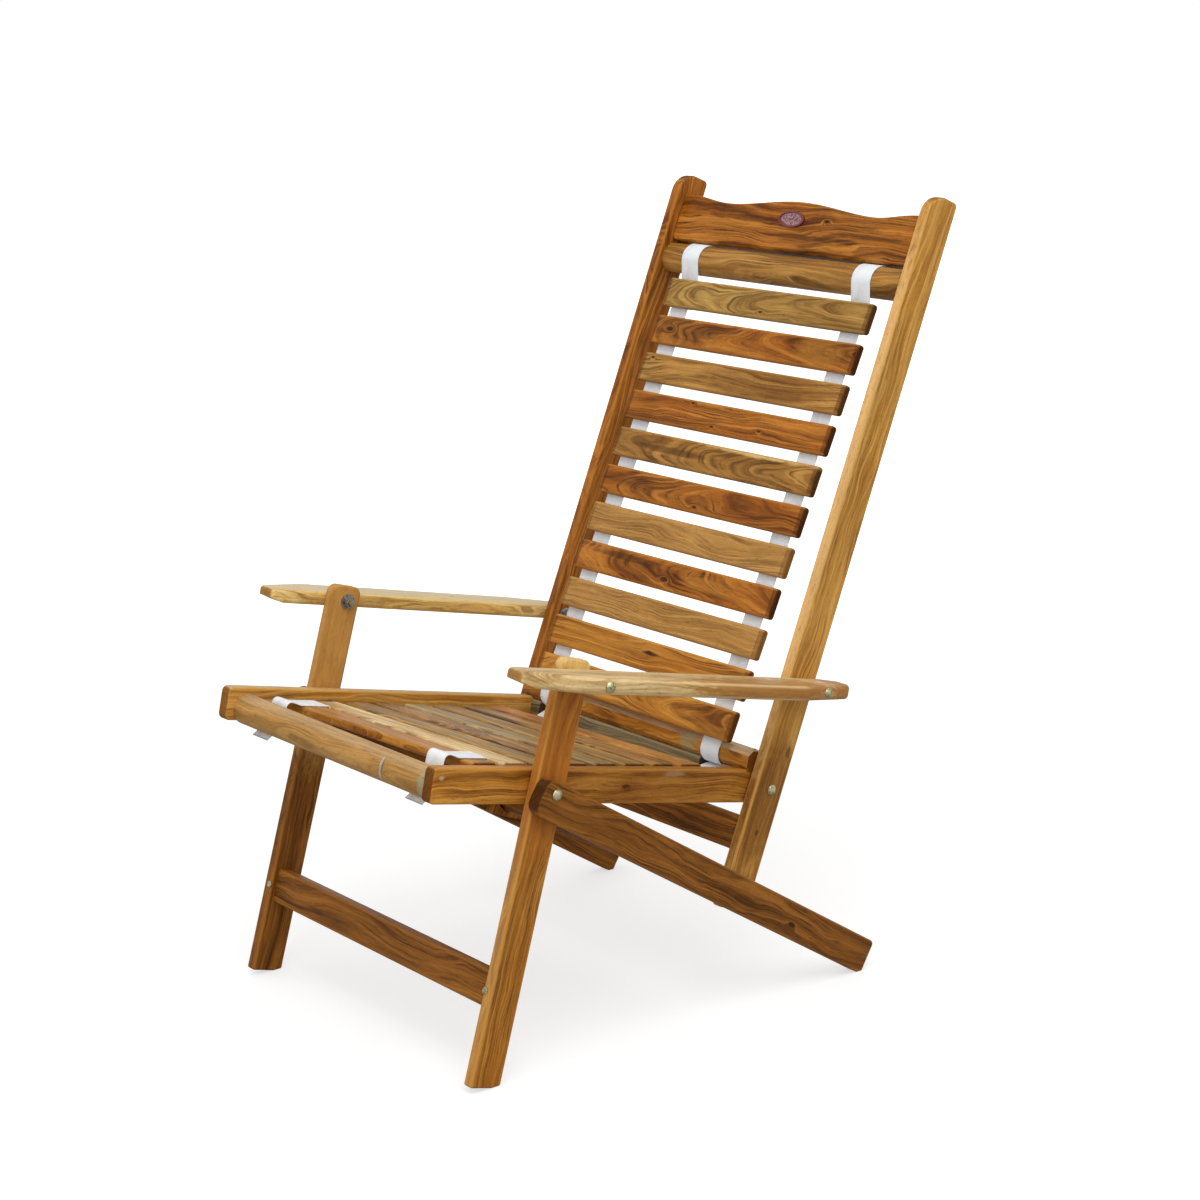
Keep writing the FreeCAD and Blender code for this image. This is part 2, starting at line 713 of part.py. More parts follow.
# Back uprights with the hook slots in their lower ends
def back_upright(name, side):
    behind = "upright_width - upright_front"
    body = make_board(
        "back_upright_" + name, "upright", 0,
        side_span(side, "post_inner", "post_outer"), "leg_board",
        [("0 - upright_front", "0 - upright_tail", "foot_corner"),
         (behind, "0 - upright_tail", "foot_corner"),
         (behind, "upright_top", "upright_rear_crown"),
         ("0 - upright_front", "upright_top", "upright_front_crown")],
        "board_edge")
    top = side_top(side, "post_inner", "post_outer")
    drill(body, "0", "0", PIVOT_HOLE, top, "leg_board")
    lean = "(arm_link_lean - upright_lean)"
    drill(body, "arm_rise * sin%s" % lean, "arm_rise * cos%s" % lean,
          "bolt_diameter + 2 * open_pivot_gap", top, "leg_board")
    mortise(body, side, "low_rail_inset - upright_front", "low_rail_board",
            "0 - low_rail_drop - low_rail_height / 2", "low_rail_height")
    mortise(body, side, "crest_inset - upright_front", "crest_board",
            "crest_bottom", "crest_dip")
    reach = "(rail_tenon + tenon_gap)"
    drill(body, "top_bar_behind", "top_bar_height",
          "top_bar_tenon_diameter + 2 * tenon_gap",
          "post_inner + " + reach if side > 0 else "0 - post_inner", reach)
    drill(body, "hook_behind", "0 - hook_drop",
          "dowel_diameter + 2 * hook_gap", top, "leg_board")
    half = "(dowel_diameter / 2 + hook_gap)"
    run = "(hook_depth + hook_mouth)"
    corners = []
    for along, off in (("0", "1"), (run, "1"), (run, "-1"), ("0", "-1")):
        corners.append(
            ("hook_behind - %s * cos(hook_rise) + %s * %s * sin(hook_rise)" % (along, off, half),
             "0 - hook_drop + %s * sin(hook_rise) + %s * %s * cos(hook_rise)" % (along, off, half)))
    cut_slot(body, corners, top, "leg_board")
    return body


# Rear struts
def rear_strut(name, side):
    above = "strut_width / 2 - strut_drop"
    land_run, land_rise = "strut_land * cos(strut_slope)", "strut_land * sin(strut_slope)"
    body = make_board(
        "rear_strut_" + name, "strut", 0,
        side_span(side, "strut_inner", "strut_outer"), "strut_board",
        [("0 - strut_head", "0 - strut_below", "strut_head_corner"),
         ("strut_foot", "0 - strut_below", None),
         ("strut_foot + " + land_run, "0 - strut_below + " + land_rise, None),
         ("strut_foot + " + land_run, above, "strut_foot_corner"),
         ("0 - strut_head", above, "strut_head_corner")],
        "board_edge")
    top = side_top(side, "strut_inner", "strut_outer")
    drill(body, "0", "0", PIVOT_HOLE, top, "strut_board")
    reach = "(dowel_tenon + tenon_gap)"
    drill(body, "sqrt(dowel_reach * dowel_reach - strut_drop * strut_drop)", "0 - strut_drop",
          "dowel_diameter + 2 * tenon_gap",
          "strut_inner + " + reach if side > 0 else "0 - strut_inner", reach)
    return body


def strut_dowel():
    body = new_body("strut_dowel", "strut")
    sketch = new_sketch(body, "YZ_Plane", "0 - strut_inner - dowel_tenon")
    draw_circle(sketch, "sqrt(dowel_reach * dowel_reach - strut_drop * strut_drop)",
                "0 - strut_drop", "dowel_diameter")
    add_feature(body, "Pad", sketch, "2 * strut_inner + 2 * dowel_tenon")
    return body


# Arms
def arm(name, side):
    sign = "" if side > 0 else "0 - "
    inner, outer = "strut_inner", "arm_outer"
    plan = [(inner, "0 - arm_front", "arm_nose_corner"),
            ("(%s + arm_nose)" % inner, "0 - arm_front", "arm_nose_corner"),
            (outer, "arm_flare - arm_front", "arm_flare_corner"),
            (outer, "pivot_span + arm_rear - arm_taper", "arm_taper_corner"),
            ("(%s - arm_taper_in)" % outer, "pivot_span + arm_rear", "arm_nose_corner"),
            ("(%s + arm_heel_in)" % inner, "pivot_span + arm_rear", "arm_nose_corner"),
            (inner, "pivot_span + arm_rear - arm_heel", "arm_heel_corner")]
    body = make_board("arm_" + name, "arm", 2, "0 - arm_board / 2", "arm_board",
                      [(sign + across, along, radius) for across, along, radius in plan],
                      "arm_edge")
    top = side_top(side, inner, outer)
    for along in ("0", "pivot_span"):
        drill(body, along, "0", PIVOT_HOLE, top, "arm_width")
    # the nose thins towards its tip from below
    front, under = "0 - arm_front", "0 - arm_board / 2"
    cut_slot(body, [(front + " - arm_edge", under + " + arm_nose_thin"),
                    (front + " - arm_edge", under + " - arm_edge"),
                    (front + " + arm_nose_slope", under + " - arm_edge"),
                    (front + " + arm_nose_slope", under),
                    (front, under + " + arm_nose_thin")], top, "arm_width")
    # the rear bolt's head sits in a flat cut into the tapering edge
    deep = "arm_seat_cut"
    drill(body, "pivot_span", "0", "bolt_head_diameter + 2 * arm_seat_gap",
          outer if side > 0 else "%s - arm_outer" % deep, deep)
    return body


# Crest rail, shaped in code for its curved top and tapered bevel
def crest_rail():
    reach = size("post_inner")
    low = size("crest_bottom")
    dip_x = size("crest_dip_place")
    near = size("crest_inset") - size("upright_front")
    thick = size("crest_board")
    ends = low + size("crest_end")
    dip = low + size("crest_dip")
    hump = low + size("crest_hump")
    cut = size("crest_corner")
    knots = [Vector(-reach, near, ends), Vector(-dip_x, near, dip), Vector(0, near, hump),
             Vector(dip_x, near, dip), Vector(reach, near, ends)]
    crown = Part.BSplineCurve()
    level = Vector(1, 0, 0)
    crown.interpolate(Points=knots, InitialTangent=level, FinalTangent=level)
    lower = [Vector(reach, near, ends), Vector(reach, near, low + cut),
             Vector(reach - cut, near, low), Vector(cut - reach, near, low),
             Vector(-reach, near, low + cut), Vector(-reach, near, ends)]
    edges = [crown.toShape()] + [Part.makeLine(one, two) for one, two in zip(lower, lower[1:])]
    plank = Part.Face(Part.Wire(Part.__sortEdges__(edges))).extrude(Vector(0, thick, 0))
    crowned = [edge for edge in plank.Edges if edge.Curve.TypeId == "Part::GeomBSplineCurve"]
    plank = plank.makeFillet(size("cross_edge"), crowned)
    # the bevel along the lower front edge is deepest in the middle
    deep, shallow = size("crest_bevel"), size("crest_bevel_end")
    arch = Part.Arc(Vector(-reach, near, low + shallow), Vector(0, near, low + deep),
                    Vector(reach, near, low + shallow)).toShape()
    sill = Part.makeLine(Vector(reach, near + deep, low), Vector(-reach, near + deep, low))
    front = [Vector(reach, near, low + shallow), Vector(reach, near, low - 1),
             Vector(-reach, near, low - 1), Vector(-reach, near, low + shallow)]
    face = Part.Face(Part.Wire([arch] + [Part.makeLine(a, b) for a, b in zip(front, front[1:])]))
    wedge = face.extrude(Vector(0, deep, 0))
    lid = Part.makeRuledSurface(arch, Part.makeLine(sill.Vertexes[1].Point, sill.Vertexes[0].Point))
    over_wedge = 3 * deep
    plank = plank.cut(wedge.cut(lid.extrude(Vector(0, 0, over_wedge))))
    inset = size("cross_edge")
    tall = size("crest_dip") - 2 * inset
    long = 2 * (reach + size("rail_tenon"))
    tenon = Part.makeBox(long, thick - 2 * inset, tall,
                         Vector(-long / 2, near + inset, low + inset))
    return make_coded("crest_rail", plank.fuse(tenon).removeSplitter(), "upright")


def plaque():
    """A bare oval plate with a raised rim, on the front of the crest rail."""
    face_y = size("crest_inset") - size("upright_front")
    middle = Vector(-size("plaque_aside"), face_y, size("crest_bottom") + size("plaque_rise"))
    turn = FreeCAD.Rotation(Vector(1, 0, 0), 90)

    def oval(shrink, thick):
        wide, high = size("plaque_length") / 2 - shrink, size("plaque_height") / 2 - shrink
        ring = Part.Ellipse(Vector(0, 0, 0), wide, high).toShape()
        return Part.Face(Part.Wire([ring])).extrude(Vector(0, 0, thick))

    plate = oval(0, size("plaque_thick"))
    rim = oval(0, size("plaque_thick") + size("plaque_rim_thick"))
    rim = rim.cut(oval(size("plaque_rim"), size("plaque_thick") + size("plaque_rim_thick")))
    badge = plate.fuse(rim).removeSplitter()
    badge.Placement = FreeCAD.Placement(middle, turn)
    return make_coded("oval_plaque", badge, "upright")


# Webbing: a band of even thickness along straight runs and tangent arcs
def band(points, radii, thick, low, wide):
    """Extrude a strip that follows a path of (back, up) points across X."""
    path = [Vector(0, back, up) for back, up in points]
    sides = ([], [])
    cursor = [None, None]
    half = thick / 2

    def normal(direction):
        return Vector(0, -direction.z, direction.y)

    def add_line(one, two, heading):
        across = normal(heading)
        for index, sign in enumerate((1, -1)):
            start, end = one + across * half * sign, two + across * half * sign
            if (end - start).Length > 1e-6:
                sides[index].append(Part.makeLine(start, end))
            cursor[index] = end

    start = path[0]
    for index in range(1, len(path) - 1):
        before = (path[index] - path[index - 1]).normalize()
        after = (path[index + 1] - path[index]).normalize()
        bend = before.getAngle(after)
        trim = radii[index - 1] * math.tan(bend / 2)
        one, two = path[index] - before * trim, path[index] + after * trim
        add_line(start, one, before)
        turn = 1 if before.cross(after).x > 0 else -1
        centre = one + normal(before) * radii[index - 1] * turn
        middle_way = (path[index] - centre).normalize()
        for place, sign in enumerate((1, -1)):
            radius = radii[index - 1] - half * sign * turn
            out_one = centre + (one - centre).normalize() * radius
            out_two = centre + (two - centre).normalize() * radius
            arc = Part.Arc(out_one, centre + middle_way * radius, out_two)
            sides[place].append(arc.toShape())
        start = two
    add_line(start, path[-1], (path[-1] - path[-2]).normalize())
    caps = [Part.makeLine(sides[0][0].Vertexes[0].Point, sides[1][0].Vertexes[0].Point),
            Part.makeLine(sides[0][-1].Vertexes[-1].Point, sides[1][-1].Vertexes[-1].Point)]
    wire = Part.Wire(Part.__sortEdges__(sides[0] + sides[1] + caps))
    shape = Part.Face(wire).extrude(Vector(wide, 0, 0))
    shape.translate(Vector(low, 0, 0))
    return shape


def on_circle(centre, radius, angle):
    """A point on a circle, the angle in degrees from +Y towards +Z."""
    turn = math.radians(angle)
    return (centre[0] + radius * math.cos(turn), centre[1] + radius * math.sin(turn))


def wrap_points(centre, radius, first, last, steps):
    """Corners of the straight path that hugs a circle from first to last."""
    step = (last - first) / steps
    reach = radius / math.cos(math.radians(step / 2))
    return [on_circle(centre, reach, first + step * (place + 0.5)) for place in range(steps)]


def tangent_angle(point, centre, radius, sign):
    """Where a line from a point touches a circle, as an angle."""
    back, up = point[0] - centre[0], point[1] - centre[1]
    spread = math.degrees(math.acos(radius / math.hypot(back, up)))
    return math.degrees(math.atan2(up, back)) + sign * spread


def web_middle(side):
    """Where the middle of a strap lies across the chair."""
    return side * size("web_place") - size("web_shift")


def web_low(side):
    """The low X of a strap that lies on one side of the middle."""
    return web_middle(side) - size("web_width") / 2


def seat_rise(side, slack=0):
    """How far the tilted seat slats stand above their middle at a strap."""
    return (web_middle(side) + slack) * math.tan(math.radians(size("seat_tilt")))


def seat_web(name, side):
    """A seat strap: over the first slat, under the others, up to the rear bar."""
    thick = size("web_thick")
    bar = (size("front_bar_place"), -size("front_bar_drop"))
    hug = size("front_bar_diameter") / 2 + size("web_gap") + thick / 2
    slat_half = size("seat_slat_width") / 2
    first, pitch = size("seat_slat_first"), size("seat_slat_pitch")
    over = size("seat_slat_top") + thick / 2 + seat_rise(side, size("web_width") / 2)
    over += size("web_gap")
    under = size("seat_slat_bottom") - thick / 2 + seat_rise(side, -size("web_width") / 2)
    away = pitch / 2 - slat_half
    slack = away / 2
    leave = size("seat_web_leave")
    lift = over + size("seat_web_bulge")
    off = on_circle(bar, hug, leave)
    heading = math.radians(90 + leave)
    crown = (off[0] + (lift - off[1]) / math.tan(heading), lift)
    last = first + pitch * (size("seat_slat_count") - 1) + slat_half
    rear = (size("rear_bar_place"), size("rear_bar_rise"))
    rest = size("loop_outer") + size("web_gap") + thick / 2
    ease = (last + slack, under)
    low = (last + size("seat_web_slack"), under - size("seat_web_sag"))
    touch = tangent_angle(low, rear, rest, 1)
    leave_rear = touch + size("seat_web_wrap")
    tail = (bar[0], bar[1] - hug - size("seat_web_tail"))
    points = [tail] + wrap_points(bar, hug, tangent_angle(tail, bar, hug, 1), leave, 1)
    points += [crown, (first - slat_half - slack, over), (first + slat_half + slack, over),
               (first + pitch - slat_half - slack, under), ease, low]
    points += wrap_points(rear, rest, touch, leave_rear, 2)
    points.append(on_circle(rear, rest, leave_rear))
    bend, tight, sweep = size("web_bend"), size("web_tight"), size("web_sweep")
    radii = [hug, bend, bend, tight, tight, sweep, sweep, rest, rest]
    shape = band(points, radii, thick, web_low(side), size("web_width"))
    return make_coded("seat_webbing_" + name, shape, "seat")


def back_web(name, side):
    """A back strap: a loop round the rear bar, then up behind the slats."""
    radius = size("loop_inner") + size("web_thick") / 2
    middle = (0, 0)
    start = size("loop_end")
    points = [on_circle(middle, radius, start)]
    points += wrap_points(middle, radius, start, -180, 4)
    top = size("back_slat_first") + size("back_slat_pitch") * (size("back_slat_count") - 1)
    points.append((-radius, top + size("back_web_over")))
    shape = band(points, [radius] * 4, size("web_thick"), web_low(side), size("web_width"))
    return make_coded("back_webbing_" + name, shape, "mat")


def top_web_path():
    """Corners of the strap over the top bar, in the uprights' frame."""
    thick = size("web_thick")
    bar = (size("top_bar_behind"), size("top_bar_height"))
    hug = size("top_bar_diameter") / 2 + size("web_gap") + thick / 2
    tail = math.radians(size("top_web_droop"))
    leave = 90 - size("top_web_droop")
    off = on_circle(bar, hug, leave)
    reach = size("top_web_tail")
    end = (off[0] + reach * math.cos(tail), off[1] - reach * math.sin(tail))
    # the tongue hangs behind the mat's own strap
    mat, upright = frame_placement("mat"), frame_placement("upright")
    step = mat.multVec(Vector(0, 0, 1)) - mat.Base
    top = size("back_slat_first") + size("back_slat_pitch") * (size("back_slat_count") - 1)
    behind = size("tongue_gap") + thick / 2 - size("loop_inner")
    knee = mat.multVec(Vector(0, behind, top + size("tongue_knee")))
    knee = upright.inverse().multVec(knee)
    lean = upright.Rotation.inverted().multVec(step)
    knee = (knee.y, knee.z)
    foot = (knee[0] - lean.y * size("tongue_end"), knee[1] - lean.z * size("tongue_end"))
    touch = tangent_angle(knee, bar, hug, -1) % 360
    points = [end] + wrap_points(bar, hug, leave, touch, 3) + [knee, foot]
    return points, [hug, hug, hug, size("web_knee")]


def top_web(name, side):
    """The strap's end over the top bar, with its tail at the back."""
    points, radii = top_web_path()
    shape = band(points, radii, size("web_thick"), web_low(side), size("web_width"))
    return make_coded("top_webbing_" + name, shape, "upright")


# Fasteners
def dome_bolt(reach):
    """A domed bolt along -X: its head's flat face is at x = 0."""
    radius, height = size("bolt_head_diameter") / 2, size("bolt_head_height")
    brim = size("bolt_head_brim")
    rise = height - brim
    ball = (radius * radius + rise * rise) / (2 * rise)
    head = Part.makeCylinder(radius, height, Vector(0, 0, 0), ACROSS)
    head = head.common(Part.makeSphere(ball, Vector(height - ball, 0, 0), ACROSS))
    shank = Part.makeCylinder(size("bolt_diameter") / 2, reach, Vector(-reach, 0, 0), ACROSS)
    return head.fuse(shank)


def hex_nut():
    """A nut along -X from x = 0, bored to its bolt."""
    radius = size("nut_width") / math.sqrt(3)
    corners = [Vector(0, radius * math.cos(math.radians(60 * k)),
                      radius * math.sin(math.radians(60 * k))) for k in range(7)]
    block = Part.Face(Part.makePolygon(corners)).extrude(-ACROSS * size("nut_height"))
    return block.cut(bore(size("nut_height")))


def flat_washer(thick):
    """A washer along -X from x = 0."""
    disc = Part.makeCylinder(size("washer_diameter") / 2, thick, Vector(0, 0, 0), -ACROSS)
    return disc.cut(bore(thick))


def bore(depth):
    radius = size("bolt_diameter") / 2 + size("pivot_fit")
    return Part.makeCylinder(radius, depth, Vector(0, 0, 0), -ACROSS)


def put(shape, side, across, back, up):
    """Stand a fastener at its place, turned end for end on the right side."""
    turn = FreeCAD.Rotation(Vector(0, 0, 1), 0 if side > 0 else 180)
    shape = shape.copy()
    shape.Placement = FreeCAD.Placement(Vector(side * across, back, up), turn)
    return shape


def pivot_fasteners():
    """Bolts, nuts and washers of the four pivots on the seat rails."""
    nut_seat = size("rail_inner") - size("washer_thick")
    bolts, nuts, washers, spacers = [], [], [], []
    for side in (1, -1):
        for back, face in ((0, "strut_outer"), (size("pivot_span"), "post_outer")):
            head = size(face) + size("web_gap") / 2
            reach = head - nut_seat + size("nut_height") + size("bolt_end")
            bolts.append(put(dome_bolt(reach), side, head, back, 0))
            washers.append(put(flat_washer(size("washer_thick")), side, size("rail_inner"), back, 0))
            nuts.append(put(hex_nut(), side, nut_seat, back, 0))
            spacer = flat_washer(size("washer_gap") - size("web_gap"))
            spacers.append(put(spacer, side, size("post_inner") - size("web_gap"), back, 0))
    make_coded("seat_pivot_bolts", bolts, "seat")
    make_coded("seat_pivot_nuts", nuts, "seat")
    make_coded("seat_pivot_washers", washers + spacers, "seat")


def arm_fasteners(name, side):
    """The two long bolts through one arm, with their nuts and washers."""
    seat = size("post_inner") - size("web_gap")
    nut_seat = seat - size("washer_thick")
    bolts, nuts, washers = [], [], []
    for back, cut in ((0, 0), (size("pivot_span"), size("arm_seat_cut"))):
        head = size("arm_outer") - cut
        reach = head - nut_seat + size("nut_height") + size("bolt_end")
        bolts.append(put(dome_bolt(reach), side, head, back, 0))
        washers.append(put(flat_washer(size("washer_thick")), side, seat, back, 0))
        nuts.append(put(hex_nut(), side, nut_seat, back, 0))
    make_coded("arm_bolts_" + name, bolts, "arm")
    make_coded("arm_nuts_" + name, nuts + washers, "arm")


def wood_screw():
    """A screw along -Z: its head's flat face is at z = 0."""
    head = Part.makeCylinder(size("screw_head_diameter") / 2, size("screw_head_height"))
    rim = [edge for edge in head.Edges if edge.Vertexes[0].Z > 0.9 * size("screw_head_height")]
    rim = [edge for edge in rim if edge.Curve.TypeId == "Part::GeomCircle"]
    head = head.makeFillet(size("screw_head_round"), rim)
    radius = size("screw_diameter") / 2
    length = size("screw_length")
    shank = Part.makeCylinder(radius, length, Vector(0, 0, -length))
    return head.fuse(shank).removeSplitter()


def screws():
    rail_middle = (size("rail_inner") + size("rail_outer")) / 2
    top = size("rear_bar_rise") + size("rear_bar_height") / 2
    upright_screws, front_screws = [], []
    for side in (1, -1):
        shape = wood_screw()
        shape.Placement = FreeCAD.Placement(
            Vector(side * rail_middle, size("rear_bar_place"), top), FreeCAD.Rotation())
        upright_screws.append(shape)
        shape = wood_screw()
        turn = FreeCAD.Rotation(ACROSS, 90)
        place = Vector(side * (size("post_inner") + size("rail_tenon") / 2),
                       -size("post_front"), -size("stretcher_drop"))
        shape.Placement = FreeCAD.Placement(place, turn)
        front_screws.append(shape)
    make_coded("rear_bar_screws", upright_screws, "seat")
    make_coded("stretcher_screws", front_screws, "post")


def staple(place, turn):
    long, wide, thick = size("staple_length"), size("staple_width"), size("staple_thick")
    crown = Part.makeBox(wide, long, thick, Vector(-wide / 2, -long / 2, 0))
    crown.Placement = FreeCAD.Placement(place, turn)
    return crown


def staples():
    """Staples on the top straps' tails and behind every slat."""
    end = top_web_path()[0][0]
    droop = -math.radians(size("top_web_droop"))
    inward = size("top_web_tail") - size("staple_place")
    lift = size("web_thick") / 2
    back = end[0] - inward * math.cos(droop) - lift * math.sin(droop)
    up = end[1] - inward * math.sin(droop) + lift * math.cos(droop)
    tails, mats, seats = [], [], []
    half = size("staple_spacing") / 2
    flat_back = FreeCAD.Rotation(ACROSS, -90)
    for side in (1, -1):
        for off in (-half, half):
            across = web_middle(side) + off
            turn = FreeCAD.Rotation(ACROSS, math.degrees(droop))
            tails.append(staple(Vector(across, back, up), turn))
            for place in range(int(size("back_slat_count"))):
                rise = size("back_slat_first") + place * size("back_slat_pitch")
                mats.append(staple(Vector(across, -size("loop_inner"), rise), flat_back))
            for place in range(1, int(size("seat_slat_count"))):
                run = size("seat_slat_first") + place * size("seat_slat_pitch")
                level = size("seat_slat_bottom") + seat_rise(side, -size("web_width") / 2)
                low = level - size("web_thick") - size("staple_thick")
                seats.append(staple(Vector(across, run, low), FreeCAD.Rotation()))
    make_coded("top_webbing_staples", tails, "upright")
    make_coded("back_slat_staples", mats, "mat")
    make_coded("seat_slat_staples", seats, "seat")


# Build every piece
for name, side in SIDES:
    seat_rail(name, side)
    front_post(name, side)
    back_upright(name, side)
    rear_strut(name, side)
    arm(name, side)
    seat_web(name, side)
    back_web(name, side)
    top_web(name, side)
    arm_fasteners(name, side)
round_bar("front_seat_bar", "seat", "front_bar_place", "0 - front_bar_drop",
          "front_bar_diameter", "rail_inner", "front_bar_tenon_diameter", "front_bar_tenon")
round_bar("top_bar", "upright", "top_bar_behind", "top_bar_height",
          "top_bar_diameter", "post_inner", "top_bar_tenon_diameter", "rail_tenon")
rear_seat_bar()
rear_seat_rail()
for place in range(int(size("seat_slat_count"))):
    seat_slat(place)
for place in range(int(size("back_slat_count"))):
    back_slat(place)
cross_rail("lower_back_rail", "upright", "low_rail_inset - upright_front", "low_rail_board",
           "0 - low_rail_drop - low_rail_height / 2", "low_rail_height")
front_stretcher()
strut_dowel()
crest_rail()
plaque()
pivot_fasteners()
screws()
staples()
doc.recompute()


# Centre the chair over the origin along Y
def all_pieces():
    return bodies + [item for item, frame in coded]


def depth_limits():
    boxes = [piece.Shape.BoundBox for piece in all_pieces()]
    return min(box.YMin for box in boxes), max(box.YMax for box in boxes)


front, rear = depth_limits()
sizes.set("B%d" % (rows.index("centre_shift") + 1), str(-(front + rear) / 2))
doc.recompute()
for item, frame in coded:
    item.Placement = frame_placement(frame)
doc.recompute()

# Check everything, then write one file for each piece
for item in doc.Objects:
    states = [state for state in item.State if state in ("Invalid", "Error")]
    if states:
        raise RuntimeError("%s is %s" % (item.Label, states))
for piece in all_pieces():
    if piece.Shape.isNull() or not piece.Shape.isValid():
        raise RuntimeError("%s has no valid shape" % piece.Label)
    if not piece.Shape.Solids:
        raise RuntimeError("%s has no solid" % piece.Label)

os.makedirs("parts", exist_ok=True)
for piece in all_pieces():
    piece.Shape.exportStep("parts/%s.step" % piece.Label)
box = FreeCAD.BoundBox()
for piece in all_pieces():
    box.add(piece.Shape.BoundBox)
print(len(all_pieces()), "pieces")
print("width %.1f depth %.1f height %.1f" % (box.XLength, box.YLength, box.ZLength))
print("y %.3f to %.3f, z from %.3f" % (box.YMin, box.YMax, box.ZMin))
for pivot in ("front_pivot", "rear_pivot", "arm_pivot", "mat"):
    print(pivot, round(size(pivot + "_back"), 4), round(size(pivot + "_height"), 4))
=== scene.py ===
# %% [markdown]
# # A folding steamer chair in varnished hardwood
# The chair arrives as a fixed model: every board, bar, bolt and strap has its real
# size and place already. This lesson gives it its looks. Wood, webbing and plated
# steel are made from nodes, and the straps are built again as woven ribbons,
# because a plain solid band never looks like cloth.

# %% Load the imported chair
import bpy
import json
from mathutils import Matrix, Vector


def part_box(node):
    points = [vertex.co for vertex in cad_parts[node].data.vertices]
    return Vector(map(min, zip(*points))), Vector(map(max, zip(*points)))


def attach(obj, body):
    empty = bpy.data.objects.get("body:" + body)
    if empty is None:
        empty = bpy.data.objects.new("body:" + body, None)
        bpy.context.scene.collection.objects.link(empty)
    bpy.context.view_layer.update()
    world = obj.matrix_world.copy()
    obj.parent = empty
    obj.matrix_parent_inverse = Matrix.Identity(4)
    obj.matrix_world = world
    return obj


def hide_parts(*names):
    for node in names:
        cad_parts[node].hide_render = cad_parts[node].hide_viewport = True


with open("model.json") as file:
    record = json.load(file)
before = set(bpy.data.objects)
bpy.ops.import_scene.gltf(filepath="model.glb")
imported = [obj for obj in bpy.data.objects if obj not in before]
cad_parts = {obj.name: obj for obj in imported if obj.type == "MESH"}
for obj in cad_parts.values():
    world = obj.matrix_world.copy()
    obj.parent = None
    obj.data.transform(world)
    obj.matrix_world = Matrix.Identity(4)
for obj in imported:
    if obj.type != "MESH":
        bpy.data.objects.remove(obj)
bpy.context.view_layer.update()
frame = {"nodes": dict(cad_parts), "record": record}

# %% Modules and short names
import json
import math

import bpy
from mathutils import Matrix, Vector, noise

nodes = frame["nodes"]
body_of_node = {
    node: body
    for body, members in frame["record"]["behaviour"]["bodies"].items()
    for node in members
}
MM = 0.001

# %% [markdown]
# ## The camera
# The photograph was taken from the sitter's left, a little above the arms, with a
# long lens. The camera's place, its three turns and its lens were found by laying
# the chair's outline over the photograph until the boards met.
# A rotation matrix made from three directions is easier to trust than three angles.

# %% Camera
CAMERA_PLACE = Vector((2.4554, -2.0552, 1.2875))
CAMERA_TURN = math.radians(49.681)
CAMERA_DROP = math.radians(13.633)
CAMERA_ROLL = math.radians(0.481)
LENS = 74.38

ahead = Vector((
    -math.sin(CAMERA_TURN) * math.cos(CAMERA_DROP),
    math.cos(CAMERA_TURN) * math.cos(CAMERA_DROP),
    -math.sin(CAMERA_DROP),
))
level = ahead.cross(Vector((0, 0, 1))).normalized()
upward = level.cross(ahead)
right = level * math.cos(CAMERA_ROLL) + upward * math.sin(CAMERA_ROLL)
top = upward * math.cos(CAMERA_ROLL) - level * math.sin(CAMERA_ROLL)

camera_data = bpy.data.cameras.new("photo_camera")
camera_data.lens = LENS
camera_data.sensor_width = 36
camera = bpy.data.objects.new("photo_camera", camera_data)
camera.matrix_world = (
    Matrix.Translation(CAMERA_PLACE) @ Matrix((right, top, -ahead)).transposed().to_4x4()
)
bpy.context.scene.collection.objects.link(camera)
bpy.context.scene.camera = camera
bpy.context.scene.view_settings.view_transform = "Standard"
print("camera", [round(value, 3) for value in CAMERA_PLACE], "lens", LENS)

# %% [markdown]
# ## Shader sums in Python
# A wood material needs dozens of small sums, and wiring them by hand hides what
# they say. One small class holds a socket and turns `+`, `*` and the like into
# Math nodes, so a mask can be written as `1 - mask`. Colours go through Mix and
# Vector Math, because a Math node would turn them grey.

